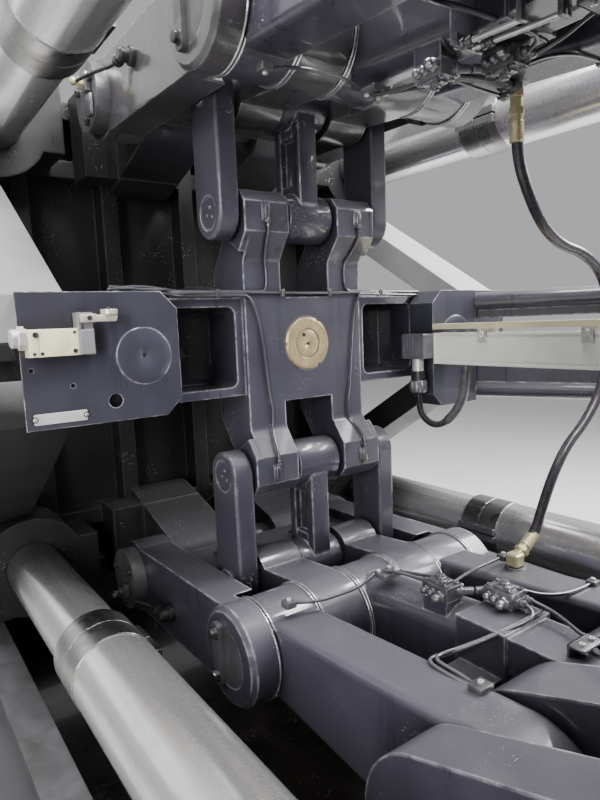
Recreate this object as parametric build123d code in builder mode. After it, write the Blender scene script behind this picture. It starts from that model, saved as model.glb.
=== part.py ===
from build123d import *
import math
import os

os.makedirs("parts", exist_ok=True)

# Toggle clamping unit of an injection molding machine, closed and locked.
# +X runs along the machine towards the stationary platen, +Y to the far side, +Z up.
# The origin is on the floor, under the middle of the unit.

# Stations along the machine, each a reach from the one before, from the rear end on
CYLINDER_REACH = 600.0
TAIL_THICKNESS = 240.0
TAIL_PIN_REACH = 170.0
REAR_LINK_LENGTH = 465.0
FRONT_LINK_LENGTH = 485.0
MOVING_PIN_REACH = 310.0
MOVING_THICKNESS = 300.0
MOULD_SPACE = 620.0
STATIONARY_THICKNESS = 280.0
TIE_NUT_REACH = 130.0
CENTRE_HEIGHT = 1250.0

# Platens
PLATEN_WIDTH = 1210.0
PLATEN_HEIGHT = 1210.0
PLATEN_CORNER = 65.0
PLATEN_EDGE = 10.0
TAIL_PLATE_DEPTH = 130.0
TAIL_RIB_SETBACK = 50.0
RIB_THICKNESS = 40.0
RIB_PITCH = 210.0
TAIL_WINDOW_BOTTOM = 450.0
TAIL_WINDOW_HEIGHT = 110.0
TAIL_WINDOWS = ((-190.0, -105.0), (20.0, 125.0), (230.0, 370.0))
TIE_BOSS_RADIUS = 112.0
TIE_BOSS_REACH = 80.0
GUIDE_BOSS_RADIUS = 84.0
GUIDE_BOSS_REACH = 20.0
CYLINDER_BOSS_RADIUS = 150.0
SHOE_REACH = 45.0
SHOE_OVERLAP = 80.0
POCKET_DEPTH = 120.0
POCKET_WALL = 55.0
POCKET_CORNER = 26.0
FRONT_WALL = 120.0
EJECTOR_BAY = 330.0
EJECTOR_BORE_RADIUS = 75.0
LOCATING_RADIUS = 80.0
NOZZLE_RADIUS = 150.0
NOZZLE_SEAT_RADIUS = 90.0
NOZZLE_DEPTH = 180.0
MOULD_BOLT_RADIUS = 12.0
MOULD_BOLT_DEPTH = 50.0
MOULD_BOLT_PATTERNS = ((280.0, 420.0), (420.0, 560.0), (560.0, 700.0))

# Tie bars
TIE_SPACING_Y = 980.0
TIE_SPACING_Z = 960.0
TIE_RADIUS = 65.0
TIE_NECK_RADIUS = 58.0
TIE_FRONT_RADIUS = 60.0
TIE_STEP_REACH = 146.0
TIE_CHAMFER = 6.0
COLLAR_RADIUS = 66.5
COLLAR_RING = 50.0
COLLAR_GAP = 2.0
COLLAR_SLIT = 4.0
COLLAR_LUG = 34.0
TIE_NUT_RADIUS = 104.0
TIE_NUT_LENGTH = 100.0
TIE_NUT_SLOTS = 6
TIE_NUT_SLOT_WIDTH = 26.0
TIE_NUT_SLOT_DEPTH = 12.0
ADJUST_BACK = 150.0
TIE_TAIL_REACH = 20.0

# Toggle
MAIN_PIN_Z = 515.0
TAIL_PIN_Z = 525.0
CROSS_PIN_Z = 250.0
HUMP_PIN_Z = 470.0
CROSS_REACH = 310.0
CROSS_PIN_SETBACK = 15.0
SHORT_PIN_RADIUS = 30.0
EYE_RADIUS = 48.0
LINK_EDGE = 6.0
SIDE_LINK_THICKNESS = 42.0
SIDE_LINK_OUTER_Y = 205.0
MIDDLE_EYE_WIDTH = 104.0
MIDDLE_WEB_WIDTH = 44.0
MIDDLE_FLANGE_THICKNESS = 26.0
EAR_INNER_Y = 60.0
EAR_OUTER_Y = 158.0
KNEE_HUB_RADIUS = 86.0
KNEE_HUB_OUTER_Y = 305.0
KNEE_HUB_CHAMFER = 8.0
TAIL_HUB_RADIUS = 80.0
ARM_INNER_Y = 215.0
ARM_OUTER_Y = 290.0
ARM_TAIL_HALF = 72.0
ARM_KNEE_HALF = 76.0
TAIL_EAR_INNER_Y = 60.0
BEAM_INNER_Y = 152.0
BEAM_OUTER_Y = 250.0
BEAM_MIDDLE_HALF = 48.0
BEAM_EDGE = 14.0
KNEE_PIN_RADIUS = 50.0
TAIL_PIN_RADIUS = 46.0
MOVING_PIN_RADIUS = 48.0
MOVING_HUB_RADIUS = 100.0
MOVING_EAR_THICKNESS = 78.0
MOVING_EAR_RADIUS = 108.0
SIDE_PLAY = 2.0
BORE_PLAY = 0.3
HUB_PLAY = 8.0
PIN_CAP_RADIUS = 68.0
PIN_CAP_THICKNESS = 28.0
KEEPER_WIDTH = 24.0
KEEPER_LENGTH = 112.0
KEEPER_THICKNESS = 9.0
KEEPER_OFFSET = 24.0

# Crosshead
LEG_INNER_Y = 60.0
LEG_OUTER_Y = 145.0
LEG_DEPTH = 120.0
LEG_STRAIGHT = 165.0
EAR_START = 215.0
EAR_REACH = 38.0
EAR_TOP = 270.0
EAR_CHAMFER_TOP = 292.0
EAR_CHAMFER = 18.0
EAR_SHOULDER = 10.0
LEG_SHOULDER = 15.0
LEG_FILLET = 24.0
WEB_DEPTH = 90.0
WEB_TOP = 95.0
WEB_BOTTOM = 115.0
ARM_HALF_HEIGHT = 95.0
ARM_WALL = 18.0
ARM_BACK_WALL = 30.0
ARM_FRONT_GAP = 10.0
ARM_DEPTH = 140.0
ARM_POCKET_CORNER = 15.0
ARM_HOLE_RADIUS = 12.0
ARM_HOLE_Y = 222.0
ARM_HOLE_Z = -14.0
NUT_RADIUS = 54.0
NUT_LENGTH = 62.0
NUT_PROUD = 4.0
NUT_EDGE = 2.0
NUT_DISC_RADIUS = 30.0
NUT_NOTCHES = 3
ROD_RADIUS = 45.0
ROD_END_RADIUS = 26.0

# Clamp cylinder
CAP_LENGTH = 90.0
CAP_SIZE = 280.0
FLANGE_LENGTH = 70.0
BARREL_RADIUS = 112.0
CYLINDER_ROD_RADIUS = 16.0
CYLINDER_ROD_SPACING = 210.0
PORT_SIZE = 70.0
PORT_HEIGHT = 34.0
PORT_RADIUS = 16.0

# Guide rods and their support plates
GUIDE_Y = 380.0
GUIDE_RADIUS = 46.0
GUIDE_EMBED = 180.0
BUSH_WALL = 14.0
BUSH_PROUD = 12.0
PLATE_THICKNESS = 71.0
NEAR_PLATE_INNER_Y = 318.0
NEAR_PLATE_OUTER_Y = 620.0
FAR_PLATE_INNER_Y = 302.0
FAR_PLATE_OUTER_Y = 452.0
PLATE_TOP = 103.0
NEAR_PLATE_DROP = 102.0
FAR_PLATE_DROP = 162.0
PLATE_CHAMFER = 28.0
BRACKET_THICKNESS = 36.0
PLATE_TAPPED_HOLE = (-432.0, -69.0, 11.0)
PLATE_SMALL_HOLES = ((-554.0, -12.0, 3.5), (-496.0, -39.0, 3.5))
BRACE_INNER_Y = 480.0
BRACE_HEAD_TOP = 104.0
BRACE_HEAD_BOTTOM = 30.0
BRACE_FOOT_TOP = 395.0
BRACE_FOOT_BOTTOM = 310.0
BRACE_PAD_BOTTOM = 290.0
BRACE_PAD_TOP = 420.0

# Bed
RAIL_OUTSET = 3.0
BEAM_WIDTH = 199.0
BEAM_TOP_DROP = 655.0
BED_CLEARANCE = 115.0
BEAM_FLANGE = 24.0
BEAM_EDGE_CHAMFER = 6.0
BEAM_PANEL_CORNER = 20.0
BEAM_WEB_SETBACK = 14.0
RAIL_WIDTH = 62.0
RAIL_THICKNESS = 15.0
RAIL_END_GAP = 60.0
BED_REAR_OVERHANG = 90.0
CROSS_MEMBER_LIFT = 40.0
CROSS_MEMBER_WIDTH = 200.0
CROSS_MEMBER_DEPTH = 260.0
END_PLATE_THICKNESS = 24.0
END_PLATE_DROP = 12.0
TRAY_DROP = 90.0
TRAY_THICKNESS = 6.0
FOOT_INSET = 160.0
FOOT_RADIUS = 90.0
FOOT_PAD = 45.0
FOOT_STUD_RADIUS = 28.0
FOOT_TAPER = 12.0
FOOT_NUT_RADIUS = 45.0
FOOT_NUT_HEIGHT = 25.0

OVERALL_LENGTH = (
    CYLINDER_REACH
    + TAIL_THICKNESS
    + TAIL_PIN_REACH
    + REAR_LINK_LENGTH
    + FRONT_LINK_LENGTH
    + MOVING_PIN_REACH
    + MOVING_THICKNESS
    + MOULD_SPACE
    + STATIONARY_THICKNESS
    + TIE_NUT_REACH
)
REAR_END_X = -OVERALL_LENGTH / 2
TAIL_REAR_X = REAR_END_X + CYLINDER_REACH
TAIL_FRONT_X = TAIL_REAR_X + TAIL_THICKNESS
TAIL_PIN_X = TAIL_FRONT_X + TAIL_PIN_REACH
KNEE_X = TAIL_PIN_X + REAR_LINK_LENGTH
MOVING_PIN_X = KNEE_X + FRONT_LINK_LENGTH
MOVING_REAR_X = MOVING_PIN_X + MOVING_PIN_REACH
MOVING_FRONT_X = MOVING_REAR_X + MOVING_THICKNESS
STATIONARY_REAR_X = MOVING_FRONT_X + MOULD_SPACE
STATIONARY_FRONT_X = STATIONARY_REAR_X + STATIONARY_THICKNESS
FRONT_END_X = STATIONARY_FRONT_X + TIE_NUT_REACH
CROSS_X = TAIL_PIN_X + CROSS_REACH
CROSS_PIN_X = CROSS_X - CROSS_PIN_SETBACK
PLATE_FRONT_X = CROSS_X + PLATE_THICKNESS
TIE_Y = TIE_SPACING_Y / 2
TIE_Z = TIE_SPACING_Z / 2
HALF_WIDTH = PLATEN_WIDTH / 2
HALF_HEIGHT = PLATEN_HEIGHT / 2
SIDE_LINK_INNER_Y = SIDE_LINK_OUTER_Y - SIDE_LINK_THICKNESS
BEAM_INNER = HALF_WIDTH + RAIL_OUTSET - RAIL_WIDTH
BED_TOP_Z = CENTRE_HEIGHT - BEAM_TOP_DROP
RAIL_TOP_Z = BED_TOP_Z + RAIL_THICKNESS
BED_FLOOR_Z = BED_CLEARANCE
BEAM_DEPTH = BED_TOP_Z - BED_FLOOR_Z
BED_REAR_X = TAIL_REAR_X - BED_REAR_OVERHANG
BED_FRONT_X = STATIONARY_FRONT_X + TIE_NUT_REACH / 2
BEAM_OUTER = BEAM_INNER + BEAM_WIDTH

SIDES = {"near": -1, "far": 1}
LEVELS = {"upper": 1, "lower": -1}
CORNERS = ((-1, -1), (-1, 1), (1, -1), (1, 1))


def finish(piece, name):
    piece.part.label = name
    export_step(piece.part, f"parts/{name}.step")


def finish_both_levels(piece, name):
    """The lower piece as drawn, and the upper one mirrored over the centre line."""
    finish(piece, name.format("lower"))
    with BuildPart() as upper:
        add(mirror(piece.part, about=Plane.XY.offset(CENTRE_HEIGHT)))
    finish(upper, name.format("upper"))


def finish_as_pair(piece, name):
    """The lower piece and its mirror image above, kept as one."""
    with BuildPart() as pair:
        add(piece.part)
        add(mirror(piece.part, about=Plane.XY.offset(CENTRE_HEIGHT)))
    finish(pair, name)


def side_plane(y):
    """The upright plane at y, with its own axes along +X and +Z."""
    return Plane.XZ.offset(-y)


def across(y_from, y_to):
    """Extrusion length from the side plane at y_from to y_to."""
    return -(y_to - y_from)


def height(z):
    """Height over the floor of a level measured from the machine's centre line."""
    return CENTRE_HEIGHT + z


def tapered_bar(a, radius_a, b, radius_b):
    """Two round ends and the straight flanks that touch both."""
    run = Vector(b[0] - a[0], b[1] - a[1])
    heading = math.atan2(run.Y, run.X)
    spread = math.acos((radius_a - radius_b) / run.length)
    corners = []
    for centre, radius, turn in (
        (a, radius_a, heading + spread),
        (b, radius_b, heading + spread),
        (b, radius_b, heading - spread),
        (a, radius_a, heading - spread),
    ):
        corners.append((centre[0] + radius * math.cos(turn), centre[1] + radius * math.sin(turn)))
    Polygon(*corners, align=None)
    with Locations(a):
        Circle(radius_a)
    with Locations(b):
        Circle(radius_b)


def round_bar(x_from, x_to, y, z, radius, mode=Mode.ADD):
    """A cylinder along the machine."""
    with Locations(((x_from + x_to) / 2, y, z)):
        Cylinder(radius, abs(x_to - x_from), rotation=(0, 90, 0), mode=mode)


def cone_bar(x_from, x_to, y, z, radius_from, radius_to, mode=Mode.ADD):
    """A truncated cone along the machine."""
    with Locations(((x_from + x_to) / 2, y, z)):
        Cone(radius_from, radius_to, abs(x_to - x_from), rotation=(0, 90, 0), mode=mode)


def cross_bar(y_from, y_to, x, z, radius, mode=Mode.ADD):
    """A cylinder across the machine."""
    with Locations((x, (y_from + y_to) / 2, z)):
        Cylinder(radius, abs(y_to - y_from), rotation=(90, 0, 0), mode=mode)


def cross_cone(y_base, y_top, x, z, radius_base, radius_top, mode=Mode.ADD):
    """A truncated cone across the machine, narrowing from y_base to y_top."""
    turn = 90 if y_top < y_base else -90
    with Locations((x, (y_base + y_top) / 2, z)):
        Cone(radius_base, radius_top, abs(y_top - y_base), rotation=(turn, 0, 0), mode=mode)


def block(x_from, x_to, y_from, y_to, z_from, z_to, mode=Mode.ADD):
    """A box between two corners."""
    middle = ((x_from + x_to) / 2, (y_from + y_to) / 2, (z_from + z_to) / 2)
    with Locations(middle):
        Box(abs(x_to - x_from), abs(y_to - y_from), abs(z_to - z_from), mode=mode)


def shoe(x_from, x_to, sign, overlap):
    """A foot of a platen that stands on the wear rail."""
    block(
        x_from,
        x_to,
        sign * (BEAM_INNER - SHOE_REACH),
        sign * (BEAM_INNER + RAIL_WIDTH),
        RAIL_TOP_Z,
        height(-HALF_HEIGHT + overlap),
    )


# Bed: two box beams, cross members with an oil tray, wear rails and levelling feet
for side, sign in SIDES.items():
    with BuildPart() as beam:
        block(BED_REAR_X, BED_FRONT_X, sign * BEAM_INNER, sign * BEAM_OUTER, BED_FLOOR_Z, BED_TOP_Z)
        chamfer(beam.edges().filter_by(Axis.X), BEAM_EDGE_CHAMFER)
        with BuildSketch(side_plane(sign * BEAM_OUTER)):
            for x in ((BED_REAR_X + KNEE_X) / 2, (KNEE_X + BED_FRONT_X) / 2):
                with Locations((x, BED_TOP_Z - BEAM_DEPTH / 2)):
                    RectangleRounded(
                        (BED_FRONT_X - BED_REAR_X) / 2 - 3 * BEAM_FLANGE,
                        BEAM_DEPTH - 2 * BEAM_FLANGE,
                        BEAM_PANEL_CORNER,
                    )
        extrude(amount=across(sign * BEAM_OUTER, sign * (BEAM_OUTER - BEAM_WEB_SETBACK)), mode=Mode.SUBTRACT)
    finish(beam, f"bed_beam_{side}")

with BuildPart() as rails:
    for sign in SIDES.values():
        block(
            BED_REAR_X + RAIL_END_GAP,
            BED_FRONT_X - RAIL_END_GAP,
            sign * BEAM_INNER,
            sign * (BEAM_INNER + RAIL_WIDTH),
            BED_TOP_Z,
            RAIL_TOP_Z,
        )
finish(rails, "wear_rails")

CROSS_MEMBERS = (
    TAIL_REAR_X + TAIL_THICKNESS / 2,
    (KNEE_X + MOVING_REAR_X) / 2,
    STATIONARY_REAR_X + STATIONARY_THICKNESS / 2,
)
END_PLATES = (
    (BED_REAR_X, BED_REAR_X + END_PLATE_THICKNESS),
    (BED_FRONT_X, BED_FRONT_X - END_PLATE_THICKNESS),
)
with BuildPart() as members:
    for x in CROSS_MEMBERS:
        block(
            x - CROSS_MEMBER_WIDTH / 2,
            x + CROSS_MEMBER_WIDTH / 2,
            -BEAM_INNER,
            BEAM_INNER,
            BED_FLOOR_Z + CROSS_MEMBER_LIFT,
            BED_FLOOR_Z + CROSS_MEMBER_LIFT + CROSS_MEMBER_DEPTH,
        )
    for x_outer, x_inner in END_PLATES:
        block(
            x_outer,
            x_inner,
            -BEAM_INNER,
            BEAM_INNER,
            BED_FLOOR_Z + CROSS_MEMBER_LIFT,
            BED_TOP_Z - END_PLATE_DROP,
        )
finish(members, "bed_cross_members")

TRAY_Z = BED_FLOOR_Z + CROSS_MEMBER_LIFT + CROSS_MEMBER_DEPTH
with BuildPart() as tray:
    block(
        END_PLATES[0][1],
        END_PLATES[1][1],
        -BEAM_INNER,
        BEAM_INNER,
        TRAY_Z,
        TRAY_Z + TRAY_THICKNESS,
    )
finish(tray, "oil_tray")

FOOT_STATIONS = (BED_REAR_X + FOOT_INSET, KNEE_X, BED_FRONT_X - FOOT_INSET)
with BuildPart() as feet:
    for x in FOOT_STATIONS:
        for sign in SIDES.values():
            with BuildSketch(Plane.XY):
                with Locations((x, sign * (BEAM_INNER + BEAM_OUTER) / 2)):
                    Circle(FOOT_RADIUS)
            extrude(amount=FOOT_PAD, taper=FOOT_TAPER)
            with BuildSketch(Plane.XY.offset(FOOT_PAD)):
                with Locations((x, sign * (BEAM_INNER + BEAM_OUTER) / 2)):
                    Circle(FOOT_STUD_RADIUS)
            extrude(amount=BED_FLOOR_Z - FOOT_PAD)
            with BuildSketch(Plane.XY.offset(FOOT_PAD)):
                with Locations((x, sign * (BEAM_INNER + BEAM_OUTER) / 2)):
                    RegularPolygon(FOOT_NUT_RADIUS, 6)
            extrude(amount=FOOT_NUT_HEIGHT)
finish(feet, "levelling_feet")

# Tail platen: back plate with ribs, tie bar bosses, link ears, guide rod bosses and shoes
TAIL_RIB_X = TAIL_FRONT_X - TAIL_RIB_SETBACK
RIB_ROWS = (TAIL_WINDOW_BOTTOM - RIB_THICKNESS / 2, HALF_HEIGHT - RIB_THICKNESS)
RIB_COLUMNS = (0, RIB_PITCH, 2 * RIB_PITCH)
RIB_MARGIN = 30.0
EAR_ROOT_REACH = 80.0
EAR_ROOT_BOTTOM = 398.0
EAR_ROOT_TOP = 590.0
EAR_ROOT_Z = 484.0
EAR_ROOT_RADIUS = 106.0
GUSSET_THICKNESS = 60.0
GUSSET_OUTER_Y = 405.0
GUSSET_BOTTOM = 430.0
TAIL_EAR_OUTER_Y = ARM_INNER_Y - SIDE_PLAY
EAR_ROOT_OUTER_Y = ARM_OUTER_Y + SIDE_PLAY

with BuildPart() as tail:
    with BuildSketch(Plane.YZ.offset(TAIL_REAR_X)):
        with Locations((0, CENTRE_HEIGHT)):
            RectangleRounded(PLATEN_WIDTH, PLATEN_HEIGHT, PLATEN_CORNER)
    extrude(amount=TAIL_PLATE_DEPTH)
    chamfer(tail.faces().sort_by(Axis.X)[0].edges(), PLATEN_EDGE)
    chamfer(tail.faces().sort_by(Axis.X)[-1].edges(), PLATEN_EDGE)
    for sign in SIDES.values():
        for column in RIB_COLUMNS:
            block(
                TAIL_REAR_X + TAIL_PLATE_DEPTH,
                TAIL_RIB_X,
                sign * column - RIB_THICKNESS / 2,
                sign * column + RIB_THICKNESS / 2,
                height(-HALF_HEIGHT + RIB_MARGIN),
                height(HALF_HEIGHT - RIB_MARGIN),
            )
        for row in RIB_ROWS:
            block(
                TAIL_REAR_X + TAIL_PLATE_DEPTH,
                TAIL_RIB_X,
                -HALF_WIDTH + RIB_MARGIN,
                HALF_WIDTH - RIB_MARGIN,
                height(sign * row - RIB_THICKNESS / 2),
                height(sign * row + RIB_THICKNESS / 2),
            )
    block(
        TAIL_REAR_X + TAIL_PLATE_DEPTH,
        TAIL_RIB_X,
        -HALF_WIDTH + RIB_MARGIN,
        HALF_WIDTH - RIB_MARGIN,
        height(-RIB_THICKNESS / 2),
        height(RIB_THICKNESS / 2),
    )
    for up in LEVELS.values():
        for sign in SIDES.values():
            with BuildSketch(side_plane(sign * TAIL_EAR_INNER_Y)):
                tapered_bar(
                    (TAIL_PIN_X, height(up * TAIL_PIN_Z)),
                    TAIL_HUB_RADIUS,
                    (TAIL_RIB_X, height(up * EAR_ROOT_Z)),
                    EAR_ROOT_RADIUS,
                )
            extrude(amount=across(sign * TAIL_EAR_INNER_Y, sign * TAIL_EAR_OUTER_Y))
            block(
                TAIL_RIB_X,
                TAIL_FRONT_X + EAR_ROOT_REACH / 2,
                sign * TAIL_EAR_INNER_Y,
                sign * EAR_ROOT_OUTER_Y,
                height(up * EAR_ROOT_BOTTOM),
                height(up * EAR_ROOT_TOP),
            )
            block(
                TAIL_RIB_X,
                TAIL_FRONT_X + EAR_ROOT_REACH,
                sign * (GUSSET_OUTER_Y - GUSSET_THICKNESS),
                sign * GUSSET_OUTER_Y,
                height(up * GUSSET_BOTTOM),
                height(up * EAR_ROOT_TOP),
            )
            round_bar(
                TAIL_REAR_X, TAIL_FRONT_X + TIE_BOSS_REACH, sign * TIE_Y, height(up * TIE_Z), TIE_BOSS_RADIUS
            )
            block(
                TAIL_RIB_X,
                TAIL_FRONT_X,
                sign * BRACE_INNER_Y,
                sign * HALF_WIDTH,
                height(up * BRACE_PAD_BOTTOM),
                height(up * BRACE_PAD_TOP),
            )
            block(
                TAIL_REAR_X + TAIL_PLATE_DEPTH,
                TAIL_RIB_X,
                sign * BRACE_INNER_Y,
                sign * (HALF_WIDTH - RIB_MARGIN),
                height(up * BRACE_PAD_BOTTOM),
                height(up * BRACE_PAD_TOP),
            )
        for y_from, y_to in TAIL_WINDOWS:
            block(
                TAIL_REAR_X,
                TAIL_REAR_X + TAIL_PLATE_DEPTH,
                y_from,
                y_to,
                height(up * TAIL_WINDOW_BOTTOM),
                height(up * (TAIL_WINDOW_BOTTOM + TAIL_WINDOW_HEIGHT)),
                Mode.SUBTRACT,
            )
    for sign in SIDES.values():
        round_bar(TAIL_REAR_X, TAIL_FRONT_X + GUIDE_BOSS_REACH, sign * GUIDE_Y, height(0), GUIDE_BOSS_RADIUS)
        shoe(TAIL_REAR_X, TAIL_RIB_X, sign, SHOE_OVERLAP)
    round_bar(TAIL_REAR_X, TAIL_FRONT_X, 0, height(0), CYLINDER_BOSS_RADIUS)
    for up in LEVELS.values():
        for sign in SIDES.values():
            round_bar(
                TAIL_REAR_X,
                TAIL_FRONT_X + TIE_BOSS_REACH,
                sign * TIE_Y,
                height(up * TIE_Z),
                TIE_NECK_RADIUS + BORE_PLAY,
                Mode.SUBTRACT,
            )
        cross_bar(
            -ARM_OUTER_Y,
            ARM_OUTER_Y,
            TAIL_PIN_X,
            height(up * TAIL_PIN_Z),
            TAIL_PIN_RADIUS + BORE_PLAY,
            Mode.SUBTRACT,
        )
        for sign in SIDES.values():
            cross_bar(
                sign * (ARM_INNER_Y - SIDE_PLAY),
                sign * (ARM_OUTER_Y + SIDE_PLAY),
                TAIL_PIN_X,
                height(up * TAIL_PIN_Z),
                TAIL_HUB_RADIUS + HUB_PLAY,
                Mode.SUBTRACT,
            )
    for sign in SIDES.values():
        round_bar(
            TAIL_FRONT_X - GUIDE_EMBED,
            TAIL_FRONT_X + GUIDE_BOSS_REACH,
            sign * GUIDE_Y,
            height(0),
            GUIDE_RADIUS + BORE_PLAY,
            Mode.SUBTRACT,
        )
    round_bar(TAIL_REAR_X, TAIL_FRONT_X, 0, height(0), ROD_RADIUS + 2 * SIDE_PLAY, Mode.SUBTRACT)
finish(tail, "tail_platen")


def mould_bolt_holes(x_face, inward):
    """Blind tapped holes at the corners of several rectangles on a platen's mould face."""
    for spacing_y, spacing_z in MOULD_BOLT_PATTERNS:
        for side_sign, level_sign in CORNERS:
            round_bar(
                x_face,
                x_face + inward * MOULD_BOLT_DEPTH,
                side_sign * spacing_y / 2,
                height(level_sign * spacing_z / 2),
                MOULD_BOLT_RADIUS,
                Mode.SUBTRACT,
            )


# Moving platen: box casting with ears for the front links and a bay for the ejector
EAR_ROOT_SETBACK = 60.0
MOVING_ROOT_Z = 438.0
MOVING_ROOT_RADIUS = 158.0
POCKET_LEVELS = ((50.0, 360.0), (-360.0, -50.0))
with BuildPart() as moving:
    with BuildSketch(Plane.YZ.offset(MOVING_REAR_X)):
        with Locations((0, CENTRE_HEIGHT)):
            RectangleRounded(PLATEN_WIDTH, PLATEN_HEIGHT, PLATEN_CORNER)
    extrude(amount=MOVING_THICKNESS)
    chamfer(moving.faces().sort_by(Axis.X)[0].edges(), PLATEN_EDGE)
    chamfer(moving.faces().sort_by(Axis.X)[-1].edges(), PLATEN_EDGE)
    for sign in SIDES.values():
        for z_from, z_to in POCKET_LEVELS:
            with BuildSketch(side_plane(sign * HALF_WIDTH)):
                with Locations(
                    (
                        (MOVING_REAR_X + POCKET_WALL + MOVING_FRONT_X - FRONT_WALL) / 2,
                        height((z_from + z_to) / 2),
                    )
                ):
                    RectangleRounded(
                        MOVING_THICKNESS - POCKET_WALL - FRONT_WALL, z_to - z_from, POCKET_CORNER
                    )
            extrude(amount=across(sign * HALF_WIDTH, sign * (HALF_WIDTH - POCKET_DEPTH)), mode=Mode.SUBTRACT)
    with BuildSketch(Plane.YZ.offset(MOVING_REAR_X)):
        with Locations((0, CENTRE_HEIGHT)):
            RectangleRounded(EJECTOR_BAY, EJECTOR_BAY, POCKET_CORNER)
    extrude(amount=MOVING_THICKNESS - FRONT_WALL, mode=Mode.SUBTRACT)
    for sign in SIDES.values():
        shoe(MOVING_REAR_X + POCKET_WALL / 2, MOVING_FRONT_X - POCKET_WALL / 2, sign, SHOE_OVERLAP)
    for up in LEVELS.values():
        for sign in SIDES.values():
            for y_from, y_to in (
                (BEAM_MIDDLE_HALF + SIDE_PLAY, BEAM_INNER_Y - SIDE_PLAY),
                (BEAM_OUTER_Y + SIDE_PLAY, BEAM_OUTER_Y + SIDE_PLAY + MOVING_EAR_THICKNESS),
            ):
                with BuildSketch(side_plane(sign * y_from)):
                    tapered_bar(
                        (MOVING_PIN_X, height(up * MAIN_PIN_Z)),
                        MOVING_EAR_RADIUS,
                        (MOVING_REAR_X + EAR_ROOT_SETBACK, height(up * MOVING_ROOT_Z)),
                        MOVING_ROOT_RADIUS,
                    )
                extrude(amount=across(sign * y_from, sign * y_to))
            round_bar(
                MOVING_REAR_X,
                MOVING_FRONT_X,
                sign * TIE_Y,
                height(up * TIE_Z),
                TIE_RADIUS + BORE_PLAY,
                Mode.SUBTRACT,
            )
        cross_bar(
            -HALF_WIDTH,
            HALF_WIDTH,
            MOVING_PIN_X,
            height(up * MAIN_PIN_Z),
            MOVING_PIN_RADIUS + BORE_PLAY,
            Mode.SUBTRACT,
        )
    round_bar(MOVING_FRONT_X - FRONT_WALL, MOVING_FRONT_X, 0, height(0), EJECTOR_BORE_RADIUS, Mode.SUBTRACT)
    mould_bolt_holes(MOVING_FRONT_X, -1)
finish(moving, "moving_platen")

# Stationary platen, with the nozzle recess and the locating bore
with BuildPart() as stationary:
    with BuildSketch(Plane.YZ.offset(STATIONARY_REAR_X)):
        with Locations((0, CENTRE_HEIGHT)):
            RectangleRounded(PLATEN_WIDTH, PLATEN_HEIGHT, PLATEN_CORNER)
    extrude(amount=STATIONARY_THICKNESS)
    chamfer(stationary.faces().sort_by(Axis.X)[0].edges(), PLATEN_EDGE)
    chamfer(stationary.faces().sort_by(Axis.X)[-1].edges(), PLATEN_EDGE)
    for sign in SIDES.values():
        for z_from, z_to in POCKET_LEVELS:
            with BuildSketch(side_plane(sign * HALF_WIDTH)):
                with Locations(
                    (
                        (STATIONARY_REAR_X + FRONT_WALL + STATIONARY_FRONT_X - POCKET_WALL) / 2,
                        height((z_from + z_to) / 2),
                    )
                ):
                    RectangleRounded(
                        STATIONARY_THICKNESS - POCKET_WALL - FRONT_WALL, z_to - z_from, POCKET_CORNER
                    )
            extrude(amount=across(sign * HALF_WIDTH, sign * (HALF_WIDTH - POCKET_DEPTH)), mode=Mode.SUBTRACT)
        shoe(STATIONARY_REAR_X + POCKET_WALL / 2, STATIONARY_FRONT_X - POCKET_WALL / 2, sign, SHOE_OVERLAP)
        for up in LEVELS.values():
            round_bar(
                STATIONARY_REAR_X,
                STATIONARY_FRONT_X,
                sign * TIE_Y,
                height(up * TIE_Z),
                TIE_FRONT_RADIUS + BORE_PLAY,
                Mode.SUBTRACT,
            )
    round_bar(STATIONARY_REAR_X, STATIONARY_FRONT_X, 0, height(0), LOCATING_RADIUS, Mode.SUBTRACT)
    cone_bar(
        STATIONARY_FRONT_X - NOZZLE_DEPTH,
        STATIONARY_FRONT_X,
        0,
        height(0),
        NOZZLE_SEAT_RADIUS,
        NOZZLE_RADIUS,
        Mode.SUBTRACT,
    )
    mould_bolt_holes(STATIONARY_REAR_X, 1)
finish(stationary, "stationary_platen")

# Tie bars, stepped where the thick part begins, with split collars and slotted nuts
TIE_STEP_X = CROSS_X + TIE_STEP_REACH
TIE_REAR_END = TAIL_REAR_X - TIE_NUT_LENGTH - ADJUST_BACK - TIE_TAIL_REACH
for level, up in LEVELS.items():
    for side, sign in SIDES.items():
        with BuildPart() as tie:
            y = sign * TIE_Y
            z = height(up * TIE_Z)
            cone_bar(
                TIE_REAR_END, TIE_REAR_END + TIE_CHAMFER, y, z, TIE_NECK_RADIUS - TIE_CHAMFER, TIE_NECK_RADIUS
            )
            round_bar(TIE_REAR_END + TIE_CHAMFER, TIE_STEP_X, y, z, TIE_NECK_RADIUS)
            round_bar(TIE_STEP_X, STATIONARY_REAR_X, y, z, TIE_RADIUS)
            round_bar(STATIONARY_REAR_X, FRONT_END_X - TIE_CHAMFER, y, z, TIE_FRONT_RADIUS)
            cone_bar(
                FRONT_END_X - TIE_CHAMFER, FRONT_END_X, y, z, TIE_FRONT_RADIUS, TIE_FRONT_RADIUS - TIE_CHAMFER
            )
        finish(tie, f"tie_bar_{level}_{side}")

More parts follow.
